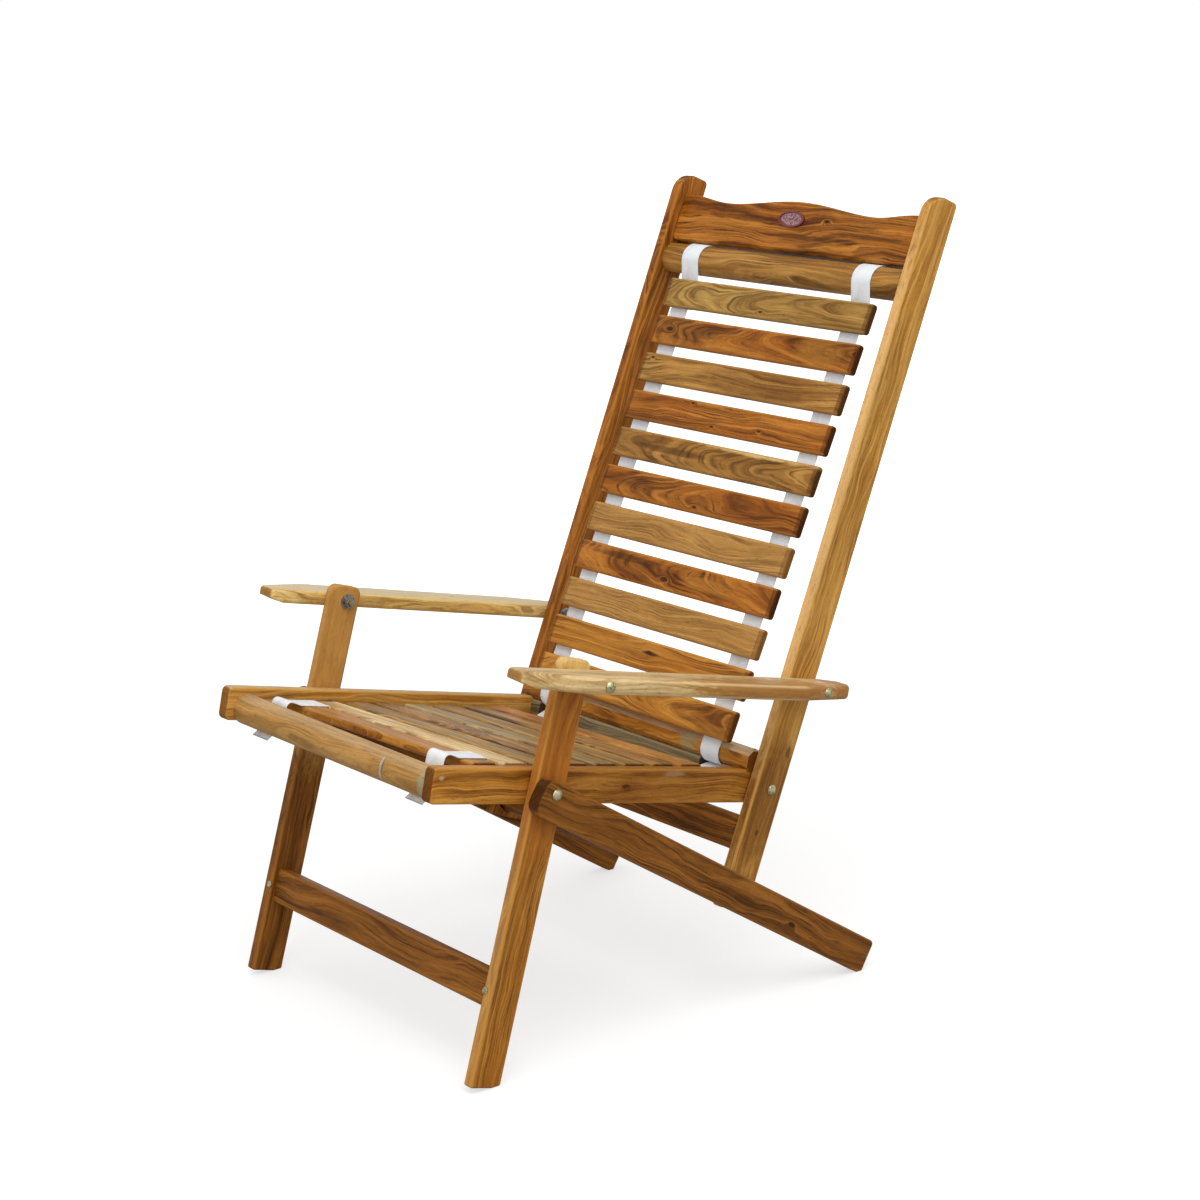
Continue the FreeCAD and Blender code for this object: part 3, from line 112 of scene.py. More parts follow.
# %% A socket that can be used in sums
class Wire:
    """One socket of a material's nodes, ready for sums."""

    def __init__(self, tree, socket=None):
        self.tree = tree
        self.socket = socket

    def node(self, kind, settings=None, sockets=None, output=0):
        """Add any node: settings first, then the values or links of its sockets."""
        made = self.tree.nodes.new(kind)
        for name, value in (settings or {}).items():
            setattr(made, name, value)
        for name, value in (sockets or {}).items():
            if isinstance(value, Wire):
                self.tree.links.new(value.socket, made.inputs[name])
            else:
                made.inputs[name].default_value = value
        return Wire(self.tree, made.outputs[output])

    def beside(self, name):
        """Another output of the same node."""
        return Wire(self.tree, self.socket.node.outputs[name])

    def math(self, operation, *values):
        sockets = dict(enumerate(values))
        return self.node("ShaderNodeMath", {"operation": operation}, sockets)

    def __add__(self, other):
        return self.math("ADD", self, other)

    def __sub__(self, other):
        return self.math("SUBTRACT", self, other)

    def __rsub__(self, other):
        return self.math("SUBTRACT", other, self)

    def __mul__(self, other):
        return self.math("MULTIPLY", self, other)

    def __truediv__(self, other):
        return self.math("DIVIDE", self, other)

    def __neg__(self):
        return self.math("MULTIPLY", self, -1.0)

    def __abs__(self):
        return self.math("ABSOLUTE", self)

    def __pow__(self, other):
        return self.math("POWER", self, other)

    __radd__ = __add__
    __rmul__ = __mul__

    def over(self, other):
        return self.math("MAXIMUM", self, other)

    def rise(self, low, high):
        """A soft step from 0 at low to 1 at high."""
        settings = {"interpolation_type": "SMOOTHSTEP"}
        sockets = {"Value": self, "From Min": low, "From Max": high}
        return self.node("ShaderNodeMapRange", settings, sockets)

    def blend(self, first, second):
        """A colour between two, with this value as the share of the second."""
        made = self.node("ShaderNodeMix", {"data_type": "RGBA"}, {0: self, 6: first, 7: second})
        return made.beside(2)

    def brighten(self, amount):
        """A colour times a value."""
        sockets = {0: self, 3: amount}
        return self.node("ShaderNodeVectorMath", {"operation": "SCALE"}, sockets)


# %% Vectors, noise, colours and new materials
def point(sheet, first, second, third):
    """A vector from three values."""
    return sheet.node("ShaderNodeCombineXYZ", None, {0: first, 1: second, 2: third})


def cloud(place, detail=2.0, rough=0.5, scale=1.0):
    """Soft noise from 0 to 1 at a vector."""
    sockets = {"Vector": place, "Scale": scale, "Detail": detail, "Roughness": rough}
    return place.node("ShaderNodeTexNoise", None, sockets)


def tone(red, green, blue):
    """A colour as it looks on a screen, from 0 to 255, in the shader's own measure."""
    shares = [value / 255 for value in (red, green, blue)]
    return (*[s / 12.92 if s <= 0.04045 else ((s + 0.055) / 1.055) ** 2.4 for s in shares], 1.0)


def new_material(name):
    """An empty material: its start for sums, and its shader."""
    material = bpy.data.materials.new(name)
    material.use_nodes = True
    tree = material.node_tree
    shader = tree.nodes["Principled BSDF"]
    return material, Wire(tree), shader


def finish_shader(sheet, shader, colour, roughness, height, depth, **fixed):
    """Join colour, roughness and bump to the shader, and set its steady values."""
    bump = sheet.node("ShaderNodeBump", None, {"Height": height, "Distance": depth, "Strength": 1.0})
    for name, wire in (("Base Color", colour), ("Roughness", roughness), ("Normal", bump)):
        sheet.tree.links.new(wire.socket, shader.inputs[name])
    for name, value in fixed.items():
        shader.inputs[name.replace("_", " ")].default_value = value


def dress(name, material):
    """Give one node its material."""
    slots = nodes[name].data.materials
    slots.clear()
    slots.append(material)


# %% [markdown]
# ## How each board lies
# Wood is a solid, and its rings run through it. So the grain is drawn in the board's
# own directions: along the grain, across the face and through the thickness. The
# chair leans its boards at only a few angles, and each node's mesh gives the middle
# and the half sizes of its board.

# %% Directions of the boards
LEANS = {"seat": 11.4, "post": 15.5, "upright": 21.5, "strut": 31.6, "mat": 24.3}
SIDEWAYS = Vector((1, 0, 0))


def directions(lean, lie):
    """Grain, face and thickness directions of a board that lies in a leaning frame."""
    turn = math.radians(LEANS[lean])
    back = Vector((0, math.cos(turn), -math.sin(turn)))
    up = Vector((0, math.sin(turn), math.cos(turn)))
    along, across = {
        "standing": (up, back),
        "running": (back, up),
        "flat": (back, SIDEWAYS),
        "cross": (SIDEWAYS, up),
        "tread": (SIDEWAYS, back),
    }[lie]
    return along, across, along.cross(across)


def measure(name, axes):
    """Middle of a node and its half sizes along three directions."""
    middle = Vector((0, 0, 0))
    halves = []
    for axis in axes:
        reach = [axis.dot(vertex.co) for vertex in nodes[name].data.vertices]
        middle += axis * (max(reach) + min(reach)) / 2
        halves.append((max(reach) - min(reach)) / 2)
    return middle, halves


# %% [markdown]
# ## The hardwood
# The boards are cut from one plantation hardwood, and no two match: some are honey
# coloured, some red-brown, some greyed. A real board shows rings round a pith that
# lies off the board or near its middle, so the rings are distances from a slanting
# line, pushed about by slow noise. Bands, thin lines and dark streaks are noise over
# that distance. Threads, fibres and pores are finer noise, stretched along the grain.
# An image would need a seam at every edge, while noise in the solid keeps face, edge
# and end grain in one piece.

# %% Palettes, each pale, middle and dark
TONES = {
    "honey": (tone(212, 160, 82), tone(182, 126, 50), tone(122, 74, 22)),
    "amber": (tone(200, 140, 60), tone(164, 102, 30), tone(92, 48, 10)),
    "red": (tone(186, 120, 46), tone(146, 82, 20), tone(66, 31, 5)),
    "olive": (tone(186, 148, 80), tone(142, 100, 42), tone(82, 50, 16)),
    "blond": (tone(234, 212, 162), tone(208, 172, 110), tone(148, 102, 48)),
    "straw": (tone(234, 202, 132), tone(216, 176, 96), tone(146, 98, 38)),
    "bronze": (tone(184, 136, 70), tone(144, 97, 38), tone(78, 46, 13)),
    "grey": (tone(190, 164, 112), tone(142, 108, 58), tone(76, 50, 22)),
    "tan": (tone(190, 144, 82), tone(170, 124, 62), tone(130, 88, 38)),
    "brown": (tone(160, 102, 38), tone(124, 74, 22), tone(58, 30, 6)),
    "weathered": (tone(148, 130, 96), tone(106, 86, 56), tone(58, 42, 24)),
}
KNOT_TONE = tone(54, 27, 8)
WEATHERED_TONE = tone(194, 181, 152)

# %% Figures: where the pith lies across and behind, and how it slants
FIGURES = {
    "arched": ((0.004, -0.040), (0.015, 0.085)),
    "slanted": ((0.060, -0.050), (0.040, 0.020)),
    "straight": ((0.220, 0.060), (0.012, 0.004)),
    "swirled": ((0.002, -0.016), (0.050, 0.050)),
}


# %% Noise that is stretched along the grain
# For each: changes per metre along and across the grain, then detail and roughness
GRAIN = {
    "push": (18, 42, 2.0, 0.5),
    "patch": (8, 36, 3.0, 0.6),
    "thread": (12, 230, 4.0, 0.72),
    "fleck": (70, 520, 2.0, 0.6),
    "fibre": (38, 950, 2.0, 0.6),
    "pores": (190, 1500, 1.0, 0.5),
    "ragged": (60, 160, 2.0, 0.5),
}


def grain_noise(kind, place, seed):
    """One of the named noises at a place in a board."""
    along, across, deep = place
    long, wide, detail, rough = GRAIN[kind]
    return cloud(point(along, along * long, across * wide, deep * wide + seed), detail, rough)


def board_place(sheet, coords, middle, axes):
    """Along, across and deep in metres from a board's middle."""
    turn = Matrix(axes).transposed().to_euler()
    local = sheet.node("ShaderNodeMapping", {"vector_type": "TEXTURE"},
                       {"Vector": coords, "Location": middle, "Rotation": turn})
    along = sheet.node("ShaderNodeSeparateXYZ", None, {0: local})
    return along, along.beside(1), along.beside(2)


def facing(coords, direction):
    """How far the surface looks in a direction, from -1 to 1."""
    return coords.node("ShaderNodeVectorMath", {"operation": "DOT_PRODUCT"},
                       {0: coords.beside("Normal"), 1: direction}, "Value")


# %% [markdown]
# ## Rings and knots
# A knot is where a branch left the trunk, and the rings flow round it like water round
# a stone. It could be cut into the mesh, but it only shows as colour. So the ring
# distance gets a bump round the knot's middle, longer along the grain than across,
# and the middle of the bump is also the dark eye.

# %% Rings and knots
# How far noise pushes the rings, in metres, and a knot's size in its own widths
SLOW_PUSH, QUICK_PUSH, DEPTH_PUSH = 0.040, 0.008, 0.030
KNOT_LENGTH, KNOT_BULGE = 2.2, 1.6


def ring_distance(sheet, place, figure, seed, knots):
    """Distance from the pith at a place in a board, and how much of it is knot."""
    along, across, deep = place
    (pith_across, pith_deep), (slant_across, slant_deep) = FIGURES[figure]
    slow = cloud(point(sheet, along * 5, across * 16 + seed, deep * 16)) - 0.5
    sway = cloud(point(sheet, along * 4 + seed, across * 10, deep * 10 + 7)) - 0.5
    quick = grain_noise("push", place, seed) - 0.5
    from_pith = (across - pith_across - along * slant_across
                 + slow * SLOW_PUSH + quick * QUICK_PUSH)
    below_pith = deep - pith_deep - along * slant_deep + sway * DEPTH_PUSH
    ring = (from_pith * from_pith + below_pith * below_pith) ** 0.5
    heart = None
    for far, aside, width in knots:
        run = (along - far) / (KNOT_LENGTH * width)
        off = (across - aside) / width
        near = sheet.math("EXPONENT", -(run * run + off * off))
        ring = ring + near * (KNOT_BULGE * width)
        eye = near.rise(0.50, 0.86)
        heart = eye if heart is None else heart.over(eye)
    return ring, heart


# %% [markdown]
# ## Wear, end grain and a painted edge highlight
# Cut ends drink more varnish and look darker, long edges get a painted highlight that
# is partly rubbed wear, and hands and weather leave spots, beside a few spots of
# painted light and shade. All three are masks in the board's own directions, so each
# one sits where the board's shape puts it.

# %% Wear, end grain and edges
# In metres: depth of a slat's dark end, place and half width of its seam, width of the painted edge
# highlight
CAP_REACH, CAP_SEAM, CAP_SEAM_HALF = 0.0045, 0.0062, 0.0012
RIM = 0.0045


def stain(colour, place, marks, seed):
    """Soft ragged spots: along, across, half length, half width, tone and share."""
    along, across, deep = place
    ragged = grain_noise("ragged", place, seed) - 0.5
    for far, aside, long, wide, shade, share in marks:
        run = (along - far) / long
        off = (across - aside) / wide
        reach = run * run + off * off + ragged * 1.2
        cover = (1 - reach.rise(0.2, 1.1)) * share
        colour = cover.blend(colour, tone(*shade))
    return colour


def cap_ends(colour, along, half, dark):
    """Dark end grain that wraps the rounded ends of a slat, with a darker seam."""
    reach = half - abs(along)
    colour = ((1 - reach.rise(CAP_REACH, CAP_REACH + 0.002)) * 0.6).blend(colour, dark)
    seam = (1 - abs(reach - CAP_SEAM) / CAP_SEAM_HALF).over(0)
    return (seam * 0.55).blend(colour, KNOT_TONE)


def near_edge(value, half):
    """From 0 to 1 over the last few millimetres before a board's side."""
    return abs(value).rise(half - RIM, half - 0.2 * RIM)


# %% The material of one board
# Changes per metre of ring distance, and the height of the bump in metres
BAND_RATE, LINE_RATE, STREAK_RATE, STRIPE_RATE = 150, 330, 70, 75
WOOD_BUMP = 0.0004


def hardwood(name, axes, tones, figure, seed, knots, streaky, weather, marks=(), capped=False):
    """Dress one board, from its directions, palette and figure."""
    middle, halves = measure(name, axes)
    pale, mid, dark = TONES[tones]
    material, sheet, shader = new_material("wood_" + name)
    coords = sheet.node("ShaderNodeTexCoord", None, None, "Object")
    place = board_place(sheet, coords, middle, axes)
    along, across, deep = place
    ring, heart = ring_distance(sheet, place, figure, seed, knots)

    bands = cloud(point(sheet, along * 1.8, ring * BAND_RATE + seed, deep * 3), 5.0, 0.74)
    lines = cloud(point(sheet, along * 2.6, ring * LINE_RATE + seed, across * 6), 2.0, 0.5)
    lines = (1 - abs(lines - 0.5) * 14).over(0)
    streak = cloud(point(sheet, along * 1.4, ring * STREAK_RATE + 3 * seed, across * 5), 4.0, 0.68)
    streak = streak.rise(0.57 - 0.06 * streaky, 0.66)
    stripe = cloud(point(sheet, along * 4, (ring + across) * STRIPE_RATE + seed, deep * 60), 3.0, 0.7)
    mottle = cloud(point(sheet, along * 22, across * 60 + seed, deep * 60), 3.0, 0.6)
    drift = cloud(point(sheet, along * 4 + seed, across * 12, deep * 12), 2.0)
    patch = grain_noise("patch", place, seed)
    thread = grain_noise("thread", place, seed)
    fibre = grain_noise("fibre", place, seed)
    fleck = grain_noise("fleck", place, seed).rise(0.60, 0.72)
    pores = grain_noise("pores", place, seed).rise(0.64, 0.78)
    end = abs(facing(coords, axes[0])).rise(0.45, 0.85)

    bold = 0.6 + 0.4 * streaky
    colour = (bands.rise(0.38, 0.53) * (0.55 + drift.rise(0.35, 0.65) * 0.45)).blend(pale, mid)
    colour = (bands.rise(0.51, 0.66) * (0.7 * bold)).blend(colour, dark)
    colour = (lines * patch.rise(0.38, 0.58) * bold).blend(colour, dark)
    colour = (streak * patch.rise(0.30, 0.55) * (0.2 + 0.75 * streaky)).blend(colour, dark)
    if weather:
        lifted = facing(coords, (0, 0, 1)).rise(0.55, 0.95)
        bleached = lifted * (0.60 + 0.40 * thread.rise(0.35, 0.65)) * weather
        colour = bleached.blend(colour, WEATHERED_TONE)
    if heart is not None:
        colour = (heart * 0.9).blend(colour, KNOT_TONE)
    colour = (end * 0.85).blend(colour, dark)
    if capped:
        colour = cap_ends(colour, along, halves[0], dark)
    colour = stain(colour, place, marks, seed)
    grain = fibre * 0.28 + thread * 0.66 + stripe * 0.56 + mottle * 0.30
    colour = colour.brighten(0.16 + grain - pores * 0.2 - fleck * 0.34)
    # Painted highlight, partly rubbed wear: the long edges blend towards the pale tone.
    edge = near_edge(across, halves[1]) * near_edge(deep, halves[2])
    colour = (edge * drift.rise(0.2, 0.55) * 0.75).blend(colour, pale)

    roughness = 0.36 + fibre * 0.14 + pores * 0.12 + end * 0.15 + weather * 0.12
    height = fibre * 0.5 - pores * 0.8 + thread * 0.5
    finish_shader(sheet, shader, colour, roughness, height, WOOD_BUMP,
                  Coat_Weight=0.05, Coat_Roughness=0.16, Specular_IOR_Level=0.08)
    dress(name, material)


# %% [markdown]
# ## Board by board
# One material for all boards would make the chair look moulded. Each board gets its
# own palette, its own figure, its own knots and its own place in the noise, which is
# what tells the eye that it was cut and fitted. The choices follow the photograph.

# %% Boards of the frame: frame, lie, palette, figure, knots, streaks, weathering
FRAME_BOARDS = {
    "seat_rail_left": ("seat", "running", "amber", "slanted", [(0.02, 0.0, 0.004)], 0.45, 0.0),
    "seat_rail_right": ("seat", "running", "honey", "straight", [], 0.3, 0.5),
    "front_post_left": ("post", "standing", "amber", "slanted", [], 0.25, 0.0),
    # The far post's brown palette is painted shade below the seat; its mark turns the upper part honey.
    "front_post_right": ("post", "standing", "brown", "straight", [], 0.4, 0.0),
    "back_upright_left": ("upright", "standing", "honey", "slanted", [(-0.38, 0.0, 0.003)], 0.1, 0.0),
    "back_upright_right": ("upright", "standing", "red", "straight", [], 0.3, 0.0),
    "rear_strut_left": ("strut", "running", "brown", "slanted", [(0.165, -0.005, 0.005)], 0.6, 0.0),
    "rear_strut_right": ("strut", "running", "brown", "straight", [], 0.6, 0.0),
    "arm_left": ("seat", "flat", "blond", "slanted", [(0.26, -0.026, 0.003)], 0.5, 0.2),
    "arm_right": ("seat", "flat", "straw", "straight", [(0.05, 0.0, 0.003)], 0.35, 0.95),
    "crest_rail": ("upright", "cross", "red", "slanted", [(0.06, 0.012, 0.004)], 0.9, 0.0),
    "top_bar": ("upright", "cross", "bronze", "slanted", [], 0.35, 0.0),
    "lower_back_rail": ("upright", "cross", "brown", "straight", [], 0.7, 0.0),
    "front_stretcher": ("post", "cross", "brown", "slanted", [], 0.5, 0.0),
    "front_seat_bar": ("seat", "tread", "tan", "straight", [], 0.1, 0.3),
    "rear_seat_bar": ("seat", "tread", "amber", "straight", [], 0.5, 0.7),
    "rear_seat_rail": ("seat", "cross", "weathered", "straight", [], 0.5, 0.5),
    "strut_dowel": ("strut", "cross", "brown", "straight", [], 0.3, 0.0),
}
BACK_SLATS = [
    ("olive", "swirled", [(0.0, -0.012, 0.003)], 0.35),
    ("red", "arched", [(-0.165, 0.002, 0.005)], 0.6),
    ("bronze", "slanted", [(-0.180, 0.014, 0.003)], 0.5),
    ("red", "slanted", [(-0.069, 0.016, 0.003), (-0.019, -0.012, 0.003), (0.072, -0.006, 0.003)], 0.4),
    ("bronze", "arched", [], 0.7),
    ("red", "swirled", [(0.0, -0.013, 0.003)], 0.6),
    ("tan", "slanted", [], 0.8),
    ("red", "arched", [(-0.010, -0.006, 0.0045)], 0.9),
    ("tan", "straight", [], 0.6),
    ("amber", "slanted", [(0.008, 0.005, 0.004)], 0.5),
    ("amber", "arched", [], 0.6),
]
SEAT_SLATS = [
    ("amber", "straight", [], 0.3),
    ("blond", "slanted", [], 0.6),
    ("olive", "straight", [], 0.9),
    ("bronze", "arched", [], 0.8),
    ("grey", "slanted", [], 0.9),
    ("olive", "straight", [], 0.8),
    ("bronze", "slanted", [], 0.9),
    ("amber", "arched", [], 0.5),
]
SEAT_WEATHER = 0.12

# %% [markdown]
# ## Marks on single boards
# Streaks from noise fall anywhere, but a few marks are part of how this chair looks:
# a chip on the front bar, a crack in a slat, an upright that darkens towards its low
# end. Each is a soft ragged spot at a place in the board's own directions, so it
# stays on its board when the chair folds. The places were found in the photograph,
# seen through the fitted camera, and the tones were set one by one.

# %% Marks of wear, odd patches of tone, a painted highlight and painted shade
# Each: along, across, half length, half width in metres, tone and share
CREAM, HONEY, UMBER, SOOT = (222, 188, 120), (178, 122, 48), (104, 58, 16), (58, 31, 8)
CHIP, PINK, GREY_GREEN = (196, 190, 178), (214, 186, 168), (150, 152, 118)
MARKS = {
    "back_slat_2": [(-0.14, 0.0, 0.07, 0.02, SOOT, 0.35), (0.13, 0.0, 0.05, 0.03, HONEY, 0.4)],
    "back_slat_3": [(0.05, 0.0, 0.14, 0.03, UMBER, 0.3)],
    "back_slat_5": [(0.09, 0.021, 0.14, 0.008, CREAM, 0.75), (-0.08, 0.0, 0.09, 0.006, SOOT, 0.6)],
    "back_slat_6": [(-0.15, 0.004, 0.06, 0.012, SOOT, 0.4)],
    "back_slat_8": [(-0.09, 0.010, 0.09, 0.006, SOOT, 0.6), (0.07, 0.0, 0.06, 0.012, HONEY, 0.4)],
    "back_slat_10": [(0.012, 0.004, 0.020, 0.0035, SOOT, 0.9), (-0.10, 0.0, 0.10, 0.03, HONEY, 0.4)],
    "back_slat_11": [(0.17, 0.0, 0.04, 0.03, UMBER, 0.45)],
    "crest_rail": [(-0.10, 0.006, 0.09, 0.005, SOOT, 0.6), (0.04, -0.014, 0.12, 0.004, SOOT, 0.6),
                   (0.14, -0.004, 0.09, 0.004, SOOT, 0.6)],
    "back_upright_left": [(-0.269, 0.013, 0.010, 0.005, SOOT, 0.6), (-0.34, 0.0, 0.10, 0.06, UMBER, 0.6),
                          # Painted highlight: a pale stripe down the upright's narrow front face and its
                          # edge.
                          (0.08, -0.027, 0.42, 0.007, (222, 178, 116), 0.85)],
    # Painted shade: honey above the seat leaves the far post brown below it, where the seat shades it.
    "front_post_right": [(0.17, 0.0, 0.17, 0.06, (198, 148, 78), 0.85)],
    "front_post_left": [(0.262, 0.0, 0.013, 0.05, CREAM, 0.85),
                        (-0.1, -0.024, 0.3, 0.006, (190, 144, 84), 0.5),
                        (0.12, 0.0, 0.12, 0.05, (180, 106, 34), 0.7)],
    "arm_left": [(0.12, 0.03, 0.17, 0.058, (158, 104, 40), 0.85),
                 (0.262, 0.0, 0.03, 0.08, (158, 104, 40), 0.8),
                 (0.262, -0.028, 0.008, 0.006, SOOT, 0.8)],
    "seat_rail_left": [(-0.272, 0.010, 0.005, 0.004, PINK, 0.45), (0.10, 0.016, 0.02, 0.004, PINK, 0.35),
                       (0.08, 0.0, 0.12, 0.03, UMBER, 0.3)],
    "front_seat_bar": [(0.115, -0.020, 0.005, 0.007, SOOT, 0.5), (0.114, -0.018, 0.003, 0.005, CHIP, 0.6),
                       # A grey-green patch at the bar's end, where it meets the seat rail.
                       (0.198, -0.020, 0.010, 0.05, GREY_GREEN, 0.7)],
    "rear_seat_bar": [(0.118, -0.02, 0.018, 0.02, GREY_GREEN, 0.5)],
}

# %% Dress every board
SEED_STEP = 13.7
seed = 4.0
for name, (lean, lie, tones, figure, knots, streaky, weather) in FRAME_BOARDS.items():
    hardwood(name, directions(lean, lie), tones, figure, seed, knots, streaky, weather,
             MARKS.get(name, ()))
    seed += SEED_STEP
for place, (tones, figure, knots, streaky) in enumerate(BACK_SLATS):
    name = "back_slat_%d" % (place + 1)
    hardwood(name, directions("mat", "cross"), tones, figure, seed, knots, streaky, 0.0,
             MARKS.get(name, ()), capped=True)
    seed += SEED_STEP
for place, (tones, figure, knots, streaky) in enumerate(SEAT_SLATS):
    name = "seat_slat_%d" % (place + 1)
    hardwood(name, directions("seat", "tread"), tones, figure, seed, knots, streaky, SEAT_WEATHER)
    seed += SEED_STEP
print(len(FRAME_BOARDS) + len(BACK_SLATS) + len(SEAT_SLATS), "boards dressed")
print(sum(len(marks) for marks in MARKS.values()), "marks on", len(MARKS), "boards")

# %% [markdown]
# ## The webbing straps
# White woven straps carry the slats: a pair along the seat, a pair along the back and
# a short pair at the top bar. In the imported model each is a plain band, so the ribbons
# are woven again here along the same line: the outline of the band's side is walked,
# its two long edges give the line between them, and a thin section with rounded
# selvedges is carried along it. Each point also keeps how far it lies along and across
# the tape, and the weave is drawn from that.

# %% The line that a strap follows
def side_outline(name):
    """The closed outline of a strap's low side, as points in order."""
    mesh = nodes[name].data
    low = min(vertex.co.x for vertex in mesh.vertices)
    spot = {}
    for vertex in mesh.vertices:
        if vertex.co.x < low + 0.01 * MM:
            spot[vertex.index] = (round(vertex.co.y, 6), round(vertex.co.z, 6))
    count = {}
    for face in mesh.polygons:
        if all(index in spot for index in face.vertices):
            ring = [spot[index] for index in face.vertices]
            for one, two in zip(ring, ring[1:] + ring[:1]):
                key = tuple(sorted((one, two)))
                count[key] = count.get(key, 0) + 1
    beside = {}
    for (one, two), times in count.items():
        if times == 1:
            beside.setdefault(one, []).append(two)
            beside.setdefault(two, []).append(one)
    start = next(iter(beside))
    walk = [start, beside[start][0]]
    while walk[-1] != start:
        one, two = beside[walk[-1]]
        walk.append(two if one == walk[-2] else one)
    return [Vector((0, y, z)) for y, z in walk[:-1]]


# %% The line between a strap's two long edges
def nearest_on(chain, spot):
    """The point of a chain of straight steps that lies nearest to a spot."""
    best = None
    for one, two in zip(chain, chain[1:]):
        step = two - one
        share = max(0.0, min(1.0, (spot - one).dot(step) / step.length_squared))
        found = one + step * share
        if best is None or (found - spot).length < (best - spot).length:
            best = found
    return best


def middle_line(name):
    """The line between the two long edges of a strap's side."""
    ring = side_outline(name)
    count = len(ring)
    corners = []
    for place in range(count):
        before = ring[place] - ring[place - 1]
        after = ring[(place + 1) % count] - ring[place]
        if before.angle(after) > math.radians(60):
            corners.append(place)
    chains = []
    for place, corner in enumerate(corners):
        follower = corners[(place + 1) % len(corners)]
        stop = follower if follower > corner else follower + count
        chains.append([ring[index % count] for index in range(corner, stop + 1)])
    chains.sort(key=lambda chain: sum((b - a).length for a, b in zip(chain, chain[1:])))
    first, second = chains[-1], chains[-2]
    return [(spot + nearest_on(second, spot)) / 2 for spot in first]


def even_steps(line, step):
    """The same line with its points evenly spaced."""
    lengths = [0.0]
    for one, two in zip(line, line[1:]):
        lengths.append(lengths[-1] + (two - one).length)
    count = max(2, round(lengths[-1] / step))
    points = []
    place = 0
    for index in range(count + 1):
        target = lengths[-1] * index / count
        while place < len(line) - 2 and lengths[place + 1] < target:
            place += 1
        share = (target - lengths[place]) / (lengths[place + 1] - lengths[place])
        points.append(line[place].lerp(line[place + 1], share))
    return points


# %% A woven ribbon along a line
WEAVE_STEP = 2.5 * MM
TAPE_THICK = 1.3 * MM
SIDE_PLAY = 0.6 * MM
STRAY, RIPPLE = 0.25 * MM, 0.10 * MM
FACE_POINTS = 11
EDGE_POINTS = 4


def tape_section(width):
    """Points round a thin section with rounded edges: across, and off the face."""
    half, thick = width / 2 - TAPE_THICK / 2, TAPE_THICK / 2
    section = []
    for side in (1, -1):
        for index in range(FACE_POINTS):
            section.append((side * half * (2 * index / (FACE_POINTS - 1) - 1), side * thick))
        for index in range(1, EDGE_POINTS):
            angle = math.pi * index / EDGE_POINTS
            section.append((side * (half + thick * math.sin(angle)), side * thick * math.cos(angle)))
    return section


# %% A ribbon in place of a plain strap
def weave_strap(name, seed):
    """A ribbon in place of one plain strap."""
    line = even_steps(middle_line(name), WEAVE_STEP)
    low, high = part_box(name)
    middle_x, width = (low.x + high.x) / 2, high.x - low.x - SIDE_PLAY
    section = tape_section(width)
    vertices, faces, tape = [], [], []
    travelled = 0.0
    for place, spot in enumerate(line):
        before, after = line[max(place - 1, 0)], line[min(place + 1, len(line) - 1)]
        forward = (after - before).normalized()
        off = Vector((0, -forward.z, forward.y))
        if place:
            travelled += (spot - line[place - 1]).length
        stray = STRAY * noise.noise(Vector((travelled * 22, seed, 0)))
        for across, lift in section:
            ripple = RIPPLE * noise.noise(Vector((travelled * 60, across * 90, seed)))
            vertices.append(spot + off * (lift + ripple) + SIDEWAYS * (middle_x + across + stray))
            tape.append((travelled, across, lift))
    ring = len(section)
    for place in range(len(line) - 1):
        for index in range(ring):
            follower = (index + 1) % ring
            faces.append((place * ring + index, place * ring + follower,
                          (place + 1) * ring + follower, (place + 1) * ring + index))
    faces.append(tuple(range(ring)))
    faces.append(tuple(reversed(range((len(line) - 1) * ring, len(line) * ring))))
    mesh = bpy.data.meshes.new(name + "_tape")
    mesh.from_pydata(vertices, [], faces)
    attribute = mesh.attributes.new("tape", "FLOAT_VECTOR", "POINT")
    attribute.data.foreach_set("vector", [value for row in tape for value in row])
    mesh.polygons.foreach_set("use_smooth", [True] * len(mesh.polygons))
    mesh.update()
    piece = bpy.data.objects.new(name + "_tape", mesh)
    bpy.context.scene.collection.objects.link(piece)
    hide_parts(name)
    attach(piece, body_of_node[name])
    return piece, travelled


# %% [markdown]
# ## The weave
# Plain-woven tape shows ribs across it, crossed by its long threads. Threads as mesh
# would be far too heavy, so two sine waves over the tape's own measures make the
# crossings, for bump and for a painted shade that darkens their hollows and lightens
# their ribs. Soft noise adds grime and lint.

# %% The webbing's material
def webbing_material():
    """White plain-woven tape with ribs across it, a little grime and lint."""
    material, sheet, shader = new_material("white_webbing")
    tape = sheet.node("ShaderNodeAttribute", {"attribute_name": "tape"}, None, "Vector")
    run = sheet.node("ShaderNodeSeparateXYZ", None, {0: tape})
    across = run.beside(1)
    rib_pitch, end_pitch = 1.3 * MM, 1.7 * MM
    rib = sheet.math("SINE", run * (2 * math.pi / rib_pitch))
    end = sheet.math("SINE", across * (2 * math.pi / end_pitch))
    weave = rib * end
    grime = cloud(point(sheet, run * 30, across * 60, 0.0), 3.0)
    lint = cloud(point(sheet, run * 900, across * 900, 0.0), 1.0)
    colour = grime.rise(0.42, 0.75).blend(tone(242, 247, 251), tone(228, 230, 231))
    # Painted shade and highlight: the weave's hollows a little darker, its ribs a little lighter; lint
    # brightens.
    colour = colour.brighten(0.95 + weave * 0.04 + lint * 0.04)
    roughness = 0.82 + lint * 0.12
    finish_shader(sheet, shader, colour, roughness, weave * 0.6 + lint * 0.4, 0.00025,
                  Sheen_Weight=0.25, Sheen_Roughness=0.6, Specular_IOR_Level=0.25)
    return material


